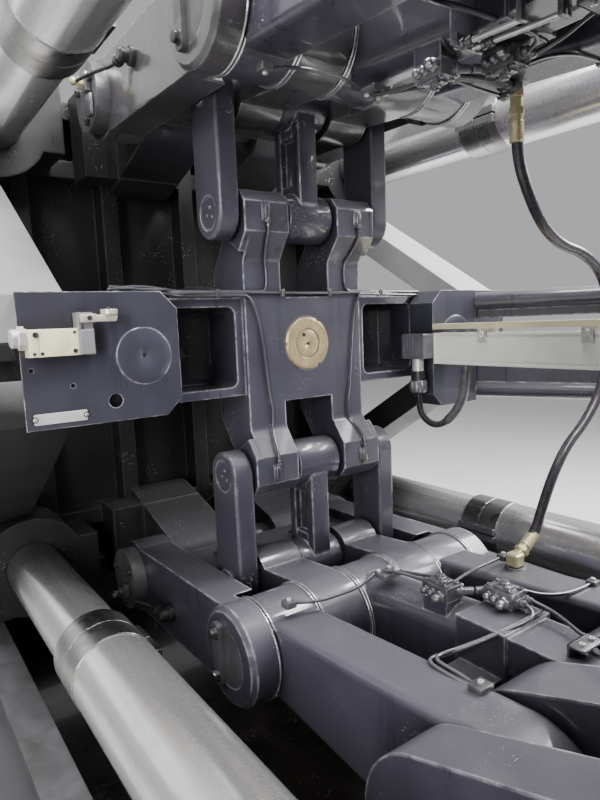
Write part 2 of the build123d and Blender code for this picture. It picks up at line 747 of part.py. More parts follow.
with BuildPart() as collars:
    for up in LEVELS.values():
        for sign in SIDES.values():
            y = sign * TIE_Y
            z = height(up * TIE_Z)
            for ring in (0, 1):
                ring_front = TIE_STEP_X - ring * (COLLAR_RING + COLLAR_GAP)
                round_bar(ring_front - COLLAR_RING, ring_front, y, z, COLLAR_RADIUS)
                block(
                    ring_front - COLLAR_RING,
                    ring_front,
                    y,
                    y - sign * (COLLAR_RADIUS + COLLAR_LUG / 4),
                    z - COLLAR_LUG / 2,
                    z + COLLAR_LUG / 2,
                )
                round_bar(
                    ring_front - COLLAR_RING,
                    ring_front,
                    y,
                    z,
                    TIE_NECK_RADIUS + BORE_PLAY,
                    Mode.SUBTRACT,
                )
                block(
                    ring_front - COLLAR_RING,
                    ring_front,
                    y - sign * (TIE_NECK_RADIUS - COLLAR_SLIT),
                    y - sign * (COLLAR_RADIUS + COLLAR_LUG),
                    z - COLLAR_SLIT / 2,
                    z + COLLAR_SLIT / 2,
                    Mode.SUBTRACT,
                )
finish(collars, "tie_bar_collars")

NUT_STATIONS = {
    "tail": (TAIL_REAR_X - TIE_NUT_LENGTH, TIE_NECK_RADIUS),
    "front": (STATIONARY_FRONT_X, TIE_FRONT_RADIUS),
}
for place, (x, bore) in NUT_STATIONS.items():
    with BuildPart() as tie_nuts:
        for up in LEVELS.values():
            for sign in SIDES.values():
                y = sign * TIE_Y
                z = height(up * TIE_Z)
                round_bar(x, x + TIE_NUT_LENGTH, y, z, TIE_NUT_RADIUS)
                round_bar(x, x + TIE_NUT_LENGTH, y, z, bore + BORE_PLAY, Mode.SUBTRACT)
                with BuildSketch(Plane.YZ.offset(x)):
                    with Locations((y, z)):
                        with PolarLocations(TIE_NUT_RADIUS, TIE_NUT_SLOTS):
                            Rectangle(2 * TIE_NUT_SLOT_DEPTH, TIE_NUT_SLOT_WIDTH)
                extrude(amount=TIE_NUT_LENGTH, mode=Mode.SUBTRACT)
    finish(tie_nuts, f"tie_bar_nuts_{place}")

# Crosshead: two legs with an ear at each end, a web with the nut, and two guide arms
ARM_FRONT_X = CROSS_X - ARM_FRONT_GAP
ARM_BACK_X = ARM_FRONT_X - ARM_DEPTH
BUSH_RADIUS = GUIDE_RADIUS + BUSH_WALL
LEG_BACK_X = CROSS_X - LEG_DEPTH
EAR_BACK_X = CROSS_PIN_X - EYE_RADIUS
with BuildPart() as crosshead:
    for sign in SIDES.values():
        with BuildSketch(side_plane(sign * LEG_INNER_Y)) as leg:
            with BuildLine():
                Polyline(
                    (CROSS_X, height(-LEG_STRAIGHT)),
                    (CROSS_X, height(LEG_STRAIGHT)),
                    (CROSS_X + EAR_REACH, height(EAR_START)),
                    (EAR_BACK_X, height(EAR_START + EAR_SHOULDER)),
                    (LEG_BACK_X, height(LEG_STRAIGHT - LEG_SHOULDER)),
                    (LEG_BACK_X, height(-LEG_STRAIGHT + LEG_SHOULDER)),
                    (EAR_BACK_X, height(-EAR_START - EAR_SHOULDER)),
                    (CROSS_X + EAR_REACH, height(-EAR_START)),
                    close=True,
                )
            make_face()
            fillet(leg.vertices().group_by(Axis.X)[-2], LEG_FILLET)
        extrude(amount=across(sign * LEG_INNER_Y, sign * LEG_OUTER_Y))
        for up in LEVELS.values():
            with BuildSketch(side_plane(sign * EAR_INNER_Y)) as ear:
                with BuildLine():
                    Polyline(
                        (CROSS_X + EAR_SHOULDER, height(up * (LEG_STRAIGHT + LEG_SHOULDER))),
                        (CROSS_X + EAR_REACH, height(up * EAR_START)),
                        (CROSS_X + EAR_REACH, height(up * EAR_TOP)),
                        (CROSS_X + EAR_REACH - EAR_CHAMFER, height(up * EAR_CHAMFER_TOP)),
                        (CROSS_PIN_X, height(up * (CROSS_PIN_Z + EYE_RADIUS))),
                        (EAR_BACK_X, height(up * (EAR_START + EAR_SHOULDER))),
                        close=True,
                    )
                make_face()
                with Locations((CROSS_PIN_X, height(up * CROSS_PIN_Z))):
                    Circle(EYE_RADIUS)
            extrude(amount=across(sign * EAR_INNER_Y, sign * EAR_OUTER_Y))
    block(CROSS_X - WEB_DEPTH, CROSS_X, -LEG_INNER_Y, LEG_INNER_Y, height(-WEB_BOTTOM), height(WEB_TOP))
    for sign in SIDES.values():
        block(
            ARM_BACK_X,
            ARM_FRONT_X,
            sign * LEG_OUTER_Y,
            sign * GUIDE_Y,
            height(-ARM_HALF_HEIGHT),
            height(ARM_HALF_HEIGHT),
        )
        round_bar(ARM_BACK_X, ARM_FRONT_X, sign * GUIDE_Y, height(0), ARM_HALF_HEIGHT)
        arm_pocket_inner = LEG_OUTER_Y + ARM_WALL
        arm_pocket_outer = GUIDE_Y - BUSH_RADIUS - ARM_WALL / 2
        with BuildSketch(Plane.YZ.offset(ARM_FRONT_X)):
            with Locations((sign * (arm_pocket_inner + arm_pocket_outer) / 2, height(0))):
                RectangleRounded(
                    arm_pocket_outer - arm_pocket_inner,
                    2 * (ARM_HALF_HEIGHT - ARM_WALL),
                    ARM_POCKET_CORNER,
                )
        extrude(amount=-(ARM_DEPTH - ARM_BACK_WALL), mode=Mode.SUBTRACT)
        round_bar(
            ARM_BACK_X,
            ARM_BACK_X + ARM_BACK_WALL,
            sign * ARM_HOLE_Y,
            height(ARM_HOLE_Z),
            ARM_HOLE_RADIUS,
            Mode.SUBTRACT,
        )
        round_bar(
            ARM_BACK_X, ARM_FRONT_X, sign * GUIDE_Y, height(0), BUSH_RADIUS + BORE_PLAY, Mode.SUBTRACT
        )
    round_bar(CROSS_X - NUT_LENGTH, CROSS_X, 0, height(0), NUT_RADIUS + BORE_PLAY, Mode.SUBTRACT)
    round_bar(CROSS_X - WEB_DEPTH, CROSS_X, 0, height(0), ROD_END_RADIUS + SIDE_PLAY, Mode.SUBTRACT)
    for up in LEVELS.values():
        cross_bar(
            -EAR_OUTER_Y,
            EAR_OUTER_Y,
            CROSS_PIN_X,
            height(up * CROSS_PIN_Z),
            SHORT_PIN_RADIUS + BORE_PLAY,
            Mode.SUBTRACT,
        )
finish(crosshead, "crosshead")

with BuildPart() as bushes:
    for sign in SIDES.values():
        round_bar(ARM_BACK_X - BUSH_PROUD, ARM_FRONT_X, sign * GUIDE_Y, height(0), BUSH_RADIUS)
        round_bar(
            ARM_BACK_X - BUSH_PROUD,
            ARM_FRONT_X,
            sign * GUIDE_Y,
            height(0),
            GUIDE_RADIUS + BORE_PLAY,
            Mode.SUBTRACT,
        )
finish(bushes, "guide_bushes")

NUT_NOTCH_WIDTH = 9.0
NUT_NOTCH_DEPTH = 7.0
NUT_NOTCH_REACH = 6.0
with BuildPart() as nut:
    round_bar(CROSS_X - NUT_LENGTH, CROSS_X + NUT_PROUD - NUT_EDGE, 0, height(0), NUT_RADIUS)
    cone_bar(
        CROSS_X + NUT_PROUD - NUT_EDGE, CROSS_X + NUT_PROUD, 0, height(0), NUT_RADIUS, NUT_RADIUS - NUT_EDGE
    )
    round_bar(
        CROSS_X - NUT_LENGTH, CROSS_X + NUT_PROUD, 0, height(0), ROD_END_RADIUS + BORE_PLAY, Mode.SUBTRACT
    )
    round_bar(CROSS_X - NUT_NOTCH_REACH, CROSS_X + NUT_PROUD, 0, height(0), NUT_DISC_RADIUS, Mode.SUBTRACT)
    with BuildSketch(Plane.YZ.offset(CROSS_X + NUT_PROUD)):
        with Locations((0, CENTRE_HEIGHT)):
            with PolarLocations(NUT_RADIUS, NUT_NOTCHES, start_angle=60):
                Rectangle(2 * NUT_NOTCH_DEPTH, NUT_NOTCH_WIDTH)
    extrude(amount=-NUT_NOTCH_REACH, mode=Mode.SUBTRACT)
finish(nut, "piston_nut")

ROD_SHOULDER_X = CROSS_X - WEB_DEPTH
ROD_REAR_X = TAIL_REAR_X - FLANGE_LENGTH / 2
with BuildPart() as piston_rod:
    round_bar(ROD_REAR_X, ROD_SHOULDER_X, 0, height(0), ROD_RADIUS)
    round_bar(ROD_SHOULDER_X, CROSS_X + NUT_PROUD / 2, 0, height(0), ROD_END_RADIUS)
finish(piston_rod, "piston_rod")

# Clamp cylinder behind the tail platen: square head with ports, barrel, tie rods and cap
BARREL_FRONT_X = TAIL_REAR_X - FLANGE_LENGTH
BARREL_REAR_X = REAR_END_X + CAP_LENGTH
with BuildPart() as barrel:
    with BuildSketch(Plane.YZ.offset(BARREL_FRONT_X)):
        with Locations((0, CENTRE_HEIGHT)):
            RectangleRounded(CAP_SIZE, CAP_SIZE, POCKET_CORNER)
    extrude(amount=FLANGE_LENGTH)
    round_bar(BARREL_REAR_X, BARREL_FRONT_X, 0, height(0), BARREL_RADIUS)
    block(
        BARREL_FRONT_X,
        BARREL_FRONT_X + FLANGE_LENGTH,
        -PORT_SIZE / 2,
        PORT_SIZE / 2,
        height(CAP_SIZE / 2),
        height(CAP_SIZE / 2 + PORT_HEIGHT),
    )
    round_bar(ROD_REAR_X, TAIL_REAR_X, 0, height(0), ROD_RADIUS + BORE_PLAY, Mode.SUBTRACT)
    for side_sign, level_sign in CORNERS:
        round_bar(
            BARREL_REAR_X,
            BARREL_FRONT_X,
            side_sign * CYLINDER_ROD_SPACING / 2,
            height(level_sign * CYLINDER_ROD_SPACING / 2),
            CYLINDER_ROD_RADIUS,
        )
    with BuildSketch(Plane.XY.offset(height(CAP_SIZE / 2 + PORT_HEIGHT))):
        with Locations((BARREL_FRONT_X + FLANGE_LENGTH / 2, 0)):
            Circle(PORT_RADIUS)
    extrude(amount=-PORT_HEIGHT, mode=Mode.SUBTRACT)
finish(barrel, "clamp_cylinder")

CAP_NUT_LENGTH = 24.0
CAP_NUT_RADIUS = 27.0
with BuildPart() as cap:
    with BuildSketch(Plane.YZ.offset(REAR_END_X + CAP_NUT_LENGTH)):
        with Locations((0, CENTRE_HEIGHT)):
            RectangleRounded(CAP_SIZE, CAP_SIZE, POCKET_CORNER)
    extrude(amount=CAP_LENGTH - CAP_NUT_LENGTH)
    with BuildSketch(Plane.YZ.offset(REAR_END_X)):
        for side_sign, level_sign in CORNERS:
            with Locations(
                (
                    side_sign * CYLINDER_ROD_SPACING / 2,
                    height(level_sign * CYLINDER_ROD_SPACING / 2),
                )
            ):
                RegularPolygon(CAP_NUT_RADIUS, 6)
    extrude(amount=CAP_NUT_LENGTH)
    block(
        REAR_END_X + CAP_NUT_LENGTH,
        BARREL_REAR_X,
        -PORT_SIZE / 2,
        PORT_SIZE / 2,
        height(CAP_SIZE / 2),
        height(CAP_SIZE / 2 + PORT_HEIGHT),
    )
    with BuildSketch(Plane.XY.offset(height(CAP_SIZE / 2 + PORT_HEIGHT))):
        with Locations(((REAR_END_X + CAP_NUT_LENGTH + BARREL_REAR_X) / 2, 0)):
            Circle(PORT_RADIUS)
    extrude(amount=-PORT_HEIGHT, mode=Mode.SUBTRACT)
finish(cap, "cylinder_cap")

# Short links: three above and three below, with their pins
head = (CROSS_PIN_X, height(-CROSS_PIN_Z))
hump = (CROSS_PIN_X, height(-HUMP_PIN_Z))
with BuildPart() as side_links:
    for sign in SIDES.values():
        with BuildSketch(side_plane(sign * SIDE_LINK_INNER_Y)):
            SlotCenterPoint(
                (CROSS_PIN_X, (head[1] + hump[1]) / 2),
                head,
                2 * EYE_RADIUS,
            )
        extrude(amount=across(sign * SIDE_LINK_INNER_Y, sign * SIDE_LINK_OUTER_Y))
    fillet(side_links.faces().filter_by(Axis.Y).edges(), LINK_EDGE)
    for centre in (head, hump):
        cross_bar(
            -SIDE_LINK_OUTER_Y,
            SIDE_LINK_OUTER_Y,
            centre[0],
            centre[1],
            SHORT_PIN_RADIUS + BORE_PLAY,
            Mode.SUBTRACT,
        )
finish_both_levels(side_links, "short_links_{}_sides")

WEB_FLARE = 46.0
WEB_SETBACK = 4.0
FLANGE_SETBACK = 2.0
with BuildPart() as middle_link:
    middle_half = MIDDLE_EYE_WIDTH / 2
    flange_back = CROSS_PIN_X - EYE_RADIUS
    for centre in (head, hump):
        cross_bar(-middle_half, middle_half, centre[0], centre[1], EYE_RADIUS)
    with BuildSketch(Plane.YZ.offset(flange_back + WEB_SETBACK)):
        with BuildLine():
            Polyline(
                (-middle_half, hump[1]),
                (-MIDDLE_WEB_WIDTH / 2, hump[1] + EYE_RADIUS + WEB_FLARE),
                (-MIDDLE_WEB_WIDTH / 2, head[1] - EYE_RADIUS - WEB_FLARE),
                (-middle_half, head[1]),
                (middle_half, head[1]),
                (MIDDLE_WEB_WIDTH / 2, head[1] - EYE_RADIUS - WEB_FLARE),
                (MIDDLE_WEB_WIDTH / 2, hump[1] + EYE_RADIUS + WEB_FLARE),
                (middle_half, hump[1]),
                close=True,
            )
        make_face()
    extrude(amount=2 * (EYE_RADIUS - WEB_SETBACK))
    block(
        flange_back + FLANGE_SETBACK,
        flange_back + MIDDLE_FLANGE_THICKNESS,
        -middle_half,
        middle_half,
        hump[1],
        head[1],
    )
    for centre in (head, hump):
        cross_bar(
            -middle_half, middle_half, centre[0], centre[1], SHORT_PIN_RADIUS + BORE_PLAY, Mode.SUBTRACT
        )
finish_both_levels(middle_link, "short_link_{}_middle")

HEAD_PIN_SETBACK = 3.0
HUMP_PIN_PROUD = 6.0
with BuildPart() as short_pins:
    for centre, proud in ((head, -HEAD_PIN_SETBACK), (hump, HUMP_PIN_PROUD)):
        pin_half = SIDE_LINK_OUTER_Y + proud
        cross_bar(-pin_half, pin_half, centre[0], centre[1], SHORT_PIN_RADIUS)
finish_as_pair(short_pins, "short_link_pins")

# Rear links: two outer arms joined by a web, and two plates that carry the short link pin
tail_pin = (TAIL_PIN_X, height(-TAIL_PIN_Z))
knee = (KNEE_X, height(-MAIN_PIN_Z))
KNEE_CHEEK_INNER = BEAM_OUTER_Y + SIDE_PLAY
HUMP_PLATE_OUTER = BEAM_INNER_Y - SIDE_PLAY
HUMP_PLATE_GAP = 10.0
HUMP_PLATE_INNER = BEAM_MIDDLE_HALF + HUMP_PLATE_GAP
HUMP_EYE_WALL = 8.0
HUMP_PLATE_START = 160.0
HUMP_PLATE_HALF = 68.0
KNEE_GAP = 10.0
BODY_HALF_DEPTH = 52.0
BODY_START = 70.0
BODY_GAP = 14.0
BODY_OVERLAP = 20.0
BODY_REAR_X = TAIL_PIN_X + BODY_START
BODY_FRONT_X = CROSS_PIN_X - EYE_RADIUS - BODY_GAP
with BuildPart() as rear_link:
    for sign in SIDES.values():
        with BuildSketch(side_plane(sign * ARM_INNER_Y)):
            tapered_bar(tail_pin, ARM_TAIL_HALF, knee, ARM_KNEE_HALF)
            with Locations(knee):
                Circle(KNEE_HUB_RADIUS)
            with Locations(tail_pin):
                Circle(TAIL_HUB_RADIUS)
        extrude(amount=across(sign * ARM_INNER_Y, sign * ARM_OUTER_Y))
        cross_bar(
            sign * ARM_OUTER_Y,
            sign * (KNEE_HUB_OUTER_Y - KNEE_HUB_CHAMFER),
            knee[0],
            knee[1],
            KNEE_HUB_RADIUS,
        )
        cross_cone(
            sign * (KNEE_HUB_OUTER_Y - KNEE_HUB_CHAMFER),
            sign * KNEE_HUB_OUTER_Y,
            knee[0],
            knee[1],
            KNEE_HUB_RADIUS,
            KNEE_HUB_RADIUS - KNEE_HUB_CHAMFER,
        )
        with BuildSketch(side_plane(sign * HUMP_PLATE_INNER)):
            tapered_bar(
                (TAIL_PIN_X + HUMP_PLATE_START, tail_pin[1]), HUMP_PLATE_HALF, knee, KNEE_HUB_RADIUS
            )
            with Locations(hump):
                Circle(EYE_RADIUS + HUMP_EYE_WALL)
        extrude(amount=across(sign * HUMP_PLATE_INNER, sign * HUMP_PLATE_OUTER))
    block(
        BODY_REAR_X,
        BODY_FRONT_X,
        -ARM_INNER_Y - BODY_OVERLAP,
        ARM_INNER_Y + BODY_OVERLAP,
        tail_pin[1] - BODY_HALF_DEPTH,
        tail_pin[1] + BODY_HALF_DEPTH,
    )
    cross_bar(
        -ARM_INNER_Y, ARM_INNER_Y, tail_pin[0], tail_pin[1], TAIL_HUB_RADIUS + HUB_PLAY, Mode.SUBTRACT
    )
    for sign in SIDES.values():
        cross_bar(
            sign * HUMP_PLATE_OUTER,
            sign * KNEE_CHEEK_INNER,
            knee[0],
            knee[1],
            KNEE_HUB_RADIUS + KNEE_GAP,
            Mode.SUBTRACT,
        )
    cross_bar(
        -KNEE_HUB_OUTER_Y, KNEE_HUB_OUTER_Y, knee[0], knee[1], KNEE_PIN_RADIUS + BORE_PLAY, Mode.SUBTRACT
    )
    cross_bar(
        -ARM_OUTER_Y, ARM_OUTER_Y, tail_pin[0], tail_pin[1], TAIL_PIN_RADIUS + BORE_PLAY, Mode.SUBTRACT
    )
    cross_bar(-ARM_INNER_Y, ARM_INNER_Y, hump[0], hump[1], SHORT_PIN_RADIUS + BORE_PLAY, Mode.SUBTRACT)
finish_both_levels(rear_link, "rear_link_{}")

# Front links: two plain outer beams and a round middle one with a pad, on one web
moving_pin = (MOVING_PIN_X, height(-MAIN_PIN_Z))
PAD_REACH = (276.0, 366.0)
PAD_Y = (-52.0, 58.0)
PAD_HALF = 103.0
LINK_WEB_REACH = (285.0, 360.0)
LINK_WEB_HALF = 35.0
MIDDLE_START = 30.0
MIDDLE_START_HALF = 79.0
MIDDLE_END_HALF = 99.0
MIDDLE_ROUND = 38.0
LINK_HUB_RADIUS = 84.0
LINK_START_HALF = 62.0
FITTING_STATION = 193.0
FITTING_Y = 216.0
FITTING_SEAT = 81.0
FITTING_SEAT_RADIUS = 19.0
DISTRIBUTOR_STATIONS = ((223.0, -22.0), (301.0, 36.0))
DISTRIBUTOR_LENGTH = 52.0
DISTRIBUTOR_WIDTH = 36.0
DISTRIBUTOR_HEIGHT = 22.0
DISTRIBUTOR_SEAT = 3.0
PAD_X = (KNEE_X + PAD_REACH[0], KNEE_X + PAD_REACH[1])
LINK_WEB_X = (KNEE_X + LINK_WEB_REACH[0], KNEE_X + LINK_WEB_REACH[1])
FITTING_X = KNEE_X + FITTING_STATION
FITTING_SEAT_Z = MAIN_PIN_Z - FITTING_SEAT
PAD_Z = MAIN_PIN_Z - PAD_HALF
with BuildPart() as front_link:
    for sign in SIDES.values():
        with BuildSketch(side_plane(sign * BEAM_INNER_Y)):
            tapered_bar(knee, LINK_START_HALF, moving_pin, MOVING_HUB_RADIUS)
        extrude(amount=across(sign * BEAM_INNER_Y, sign * BEAM_OUTER_Y))
    fillet(front_link.edges().filter_by(GeomType.LINE).filter_by(Axis.Y, reverse=True), BEAM_EDGE)
    for sign in SIDES.values():
        cross_bar(sign * BEAM_INNER_Y, sign * BEAM_OUTER_Y, knee[0], knee[1], LINK_HUB_RADIUS)
    cross_bar(-BEAM_MIDDLE_HALF, BEAM_MIDDLE_HALF, knee[0], knee[1], LINK_HUB_RADIUS)
    cross_bar(-BEAM_MIDDLE_HALF, BEAM_MIDDLE_HALF, moving_pin[0], moving_pin[1], MOVING_HUB_RADIUS)
    for x, half in ((KNEE_X + MIDDLE_START, MIDDLE_START_HALF), (PAD_X[0], MIDDLE_END_HALF)):
        with BuildSketch(Plane.YZ.offset(x)):
            with Locations((0, knee[1])):
                RectangleRounded(2 * BEAM_MIDDLE_HALF, 2 * half, MIDDLE_ROUND)
    loft()
    block(
        PAD_X[0],
        MOVING_PIN_X,
        -BEAM_MIDDLE_HALF,
        BEAM_MIDDLE_HALF,
        knee[1] - MIDDLE_END_HALF,
        knee[1] + MIDDLE_END_HALF,
    )
    block(PAD_X[0], PAD_X[1], PAD_Y[0], PAD_Y[1], knee[1], height(-PAD_Z))
    block(
        LINK_WEB_X[0],
        LINK_WEB_X[1],
        -BEAM_OUTER_Y + BEAM_EDGE,
        BEAM_OUTER_Y - BEAM_EDGE,
        knee[1] - LINK_WEB_HALF,
        knee[1] + LINK_WEB_HALF,
    )
    for station, y in DISTRIBUTOR_STATIONS:
        block(
            KNEE_X + station - DISTRIBUTOR_LENGTH / 2,
            KNEE_X + station + DISTRIBUTOR_LENGTH / 2,
            y - DISTRIBUTOR_WIDTH / 2,
            y + DISTRIBUTOR_WIDTH / 2,
            knee[1],
            height(-PAD_Z) + DISTRIBUTOR_SEAT,
        )
    with BuildSketch(Plane.XY.offset(knee[1])):
        with Locations((FITTING_X, FITTING_Y)):
            Circle(FITTING_SEAT_RADIUS)
    extrude(amount=FITTING_SEAT)
    cross_bar(-BEAM_OUTER_Y, BEAM_OUTER_Y, knee[0], knee[1], KNEE_PIN_RADIUS + BORE_PLAY, Mode.SUBTRACT)
    cross_bar(
        -BEAM_OUTER_Y,
        BEAM_OUTER_Y,
        moving_pin[0],
        moving_pin[1],
        MOVING_PIN_RADIUS + BORE_PLAY,
        Mode.SUBTRACT,
    )
finish_both_levels(front_link, "front_link_{}")

with BuildPart() as distributor:
    for station, y in DISTRIBUTOR_STATIONS:
        block(
            KNEE_X + station - DISTRIBUTOR_LENGTH / 2,
            KNEE_X + station + DISTRIBUTOR_LENGTH / 2,
            y - DISTRIBUTOR_WIDTH / 2,
            y + DISTRIBUTOR_WIDTH / 2,
            height(-PAD_Z) + DISTRIBUTOR_SEAT,
            height(-PAD_Z) + DISTRIBUTOR_SEAT + DISTRIBUTOR_HEIGHT,
        )
finish_as_pair(distributor, "oil_distributors")

# Main pins, with end caps on the tail pins and flat keepers on the knees
with BuildPart() as knee_pin:
    pin_half = KNEE_HUB_OUTER_Y
    cross_bar(-pin_half, pin_half, knee[0], knee[1], KNEE_PIN_RADIUS)
finish_as_pair(knee_pin, "knee_pins")

with BuildPart() as tail_link_pin:
    cross_bar(-ARM_OUTER_Y, ARM_OUTER_Y, tail_pin[0], tail_pin[1], TAIL_PIN_RADIUS)
    for sign in SIDES.values():
        cross_bar(
            sign * ARM_OUTER_Y,
            sign * (ARM_OUTER_Y + PIN_CAP_THICKNESS),
            tail_pin[0],
            tail_pin[1],
            PIN_CAP_RADIUS,
        )
finish_as_pair(tail_link_pin, "tail_pins")

MOVING_PIN_SETBACK = 2.0
with BuildPart() as moving_link_pin:
    pin_half = BEAM_OUTER_Y + SIDE_PLAY + MOVING_EAR_THICKNESS - MOVING_PIN_SETBACK
    cross_bar(-pin_half, pin_half, moving_pin[0], moving_pin[1], MOVING_PIN_RADIUS)
finish_as_pair(moving_link_pin, "moving_pins")

with BuildPart() as keeper:
    for sign in SIDES.values():
        with BuildSketch(side_plane(sign * KNEE_HUB_OUTER_Y)):
            with Locations((knee[0] - KEEPER_OFFSET, knee[1])):
                RectangleRounded(KEEPER_WIDTH, KEEPER_LENGTH, KEEPER_WIDTH / 3)
        extrude(amount=across(sign * KNEE_HUB_OUTER_Y, sign * (KNEE_HUB_OUTER_Y + KEEPER_THICKNESS)))
finish_as_pair(keeper, "pin_keepers")

# Guide rods, their support plates and brace arms
with BuildPart() as rods:
    for sign in SIDES.values():
        round_bar(TAIL_FRONT_X - GUIDE_EMBED, PLATE_FRONT_X, sign * GUIDE_Y, height(0), GUIDE_RADIUS)
finish(rods, "guide_rods")

with BuildPart() as near_plate:
    with BuildSketch(Plane.YZ.offset(CROSS_X)):
        with BuildLine():
            Polyline(
                (-NEAR_PLATE_OUTER_Y, height(-NEAR_PLATE_DROP)),
                (-NEAR_PLATE_INNER_Y - PLATE_CHAMFER, height(-NEAR_PLATE_DROP)),
                (-NEAR_PLATE_INNER_Y, height(-NEAR_PLATE_DROP + PLATE_CHAMFER)),
                (-NEAR_PLATE_INNER_Y, height(PLATE_TOP - PLATE_CHAMFER)),
                (-NEAR_PLATE_INNER_Y - PLATE_CHAMFER, height(PLATE_TOP)),
                (-NEAR_PLATE_OUTER_Y, height(PLATE_TOP)),
                close=True,
            )
        make_face()
    extrude(amount=PLATE_THICKNESS)
    round_bar(CROSS_X, PLATE_FRONT_X, -GUIDE_Y, height(0), GUIDE_RADIUS + BORE_PLAY, Mode.SUBTRACT)
    for y, z, radius in (PLATE_TAPPED_HOLE, *PLATE_SMALL_HOLES):
        round_bar(PLATE_FRONT_X - 2 * radius, PLATE_FRONT_X, y, height(z), radius, Mode.SUBTRACT)
finish(near_plate, "guide_plate_near")

with BuildPart() as far_plate:
    with BuildSketch(Plane.YZ.offset(CROSS_X)):
        with BuildLine():
            Polyline(
                (FAR_PLATE_OUTER_Y, height(-FAR_PLATE_DROP)),
                (FAR_PLATE_INNER_Y + PLATE_CHAMFER, height(-FAR_PLATE_DROP)),
                (FAR_PLATE_INNER_Y, height(-FAR_PLATE_DROP + PLATE_CHAMFER)),
                (FAR_PLATE_INNER_Y, height(PLATE_TOP - PLATE_CHAMFER)),
                (FAR_PLATE_INNER_Y + PLATE_CHAMFER, height(PLATE_TOP)),
                (FAR_PLATE_OUTER_Y, height(PLATE_TOP)),
                close=True,
            )
        make_face()
    extrude(amount=PLATE_THICKNESS)
    block(
        CROSS_X,
        CROSS_X + BRACKET_THICKNESS,
        FAR_PLATE_OUTER_Y,
        HALF_WIDTH,
        height(-BRACE_HEAD_TOP),
        height(BRACE_HEAD_TOP),
    )
    round_bar(CROSS_X, PLATE_FRONT_X, GUIDE_Y, height(0), GUIDE_RADIUS + BORE_PLAY, Mode.SUBTRACT)
finish(far_plate, "guide_plate_far")

for side, sign in SIDES.items():
    with BuildPart() as brace:
        for up in LEVELS.values():
            with BuildSketch(side_plane(sign * BRACE_INNER_Y)):
                Polygon(
                    (CROSS_X, height(up * BRACE_HEAD_BOTTOM)),
                    (CROSS_X, height(up * BRACE_HEAD_TOP)),
                    (TAIL_FRONT_X, height(up * BRACE_FOOT_TOP)),
                    (TAIL_FRONT_X, height(up * BRACE_FOOT_BOTTOM)),
                    align=None,
                )
            extrude(amount=across(sign * BRACE_INNER_Y, sign * HALF_WIDTH))
            round_bar(
                TAIL_FRONT_X,
                TAIL_FRONT_X + TIE_BOSS_REACH + SIDE_PLAY,
                sign * TIE_Y,
                height(up * TIE_Z),
                TIE_BOSS_RADIUS + SIDE_PLAY,
                Mode.SUBTRACT,
            )
    finish(brace, f"brace_arms_{side}")

# Limit switch on the near plate, with its roller lever
SWITCH_DEPTH = 30.0
SWITCH_BODY_Y = (-560.0, -489.0)
SWITCH_HEAD_Y = (-489.0, -466.0)
SWITCH_Z = (8.0, 48.0)
SWITCH_EDGE = 2.0
GLAND_RADIUS = 13.0
GLAND_LENGTH = 21.0
GLAND_Z = 36.0
GLAND_NECK_SETBACK = 2.0
BRACKET_Y = (-489.0, -485.0)
BRACKET_TOP = 71.0
LEVER_Y = -474.0
LEVER_Z = 62.0
LEVER_SHAFT_RADIUS = 4.0
LEVER_SHAFT_PLAY = 0.05
LEVER_HUB_RADIUS = 9.0
LEVER_EYE_RADIUS = 7.0
LEVER_TIP_RADIUS = 6.0
LEVER_THICKNESS = 5.0
LEVER_GAP = 1.0
LEVER_ELBOW = (-436.0, 61.0)
LEVER_SECOND_EYE = (-450.0, 73.0)
LEVER_TIP = (-422.0, 71.0)
ROLLER_Y = -422.0
ROLLER_Z = 74.0
ROLLER_RADIUS = 10.0
ROLLER_WIDTH = 8.0
TURRET_HEIGHT = 30.0
SWITCH_FRONT_X = PLATE_FRONT_X + SWITCH_DEPTH
SWITCH_MIDDLE_X = PLATE_FRONT_X + SWITCH_DEPTH / 2
with BuildPart() as switch_body:
    block(
        PLATE_FRONT_X,
        SWITCH_FRONT_X,
        SWITCH_BODY_Y[0],
        SWITCH_BODY_Y[1],
        height(SWITCH_Z[0]),
        height(SWITCH_Z[1]),
    )
    chamfer(switch_body.faces().sort_by(Axis.X)[-1].edges(), SWITCH_EDGE)
    cross_bar(
        SWITCH_BODY_Y[0] - GLAND_LENGTH,
        SWITCH_BODY_Y[0],
        SWITCH_MIDDLE_X,
        height(GLAND_Z),
        GLAND_RADIUS - GLAND_NECK_SETBACK,
    )
    with BuildSketch(side_plane(SWITCH_BODY_Y[0] - GLAND_LENGTH / 2)):
        with Locations((SWITCH_MIDDLE_X, height(GLAND_Z))):
            RegularPolygon(GLAND_RADIUS, 6)
    extrude(amount=GLAND_LENGTH / 2)
finish(switch_body, "limit_switch_body")

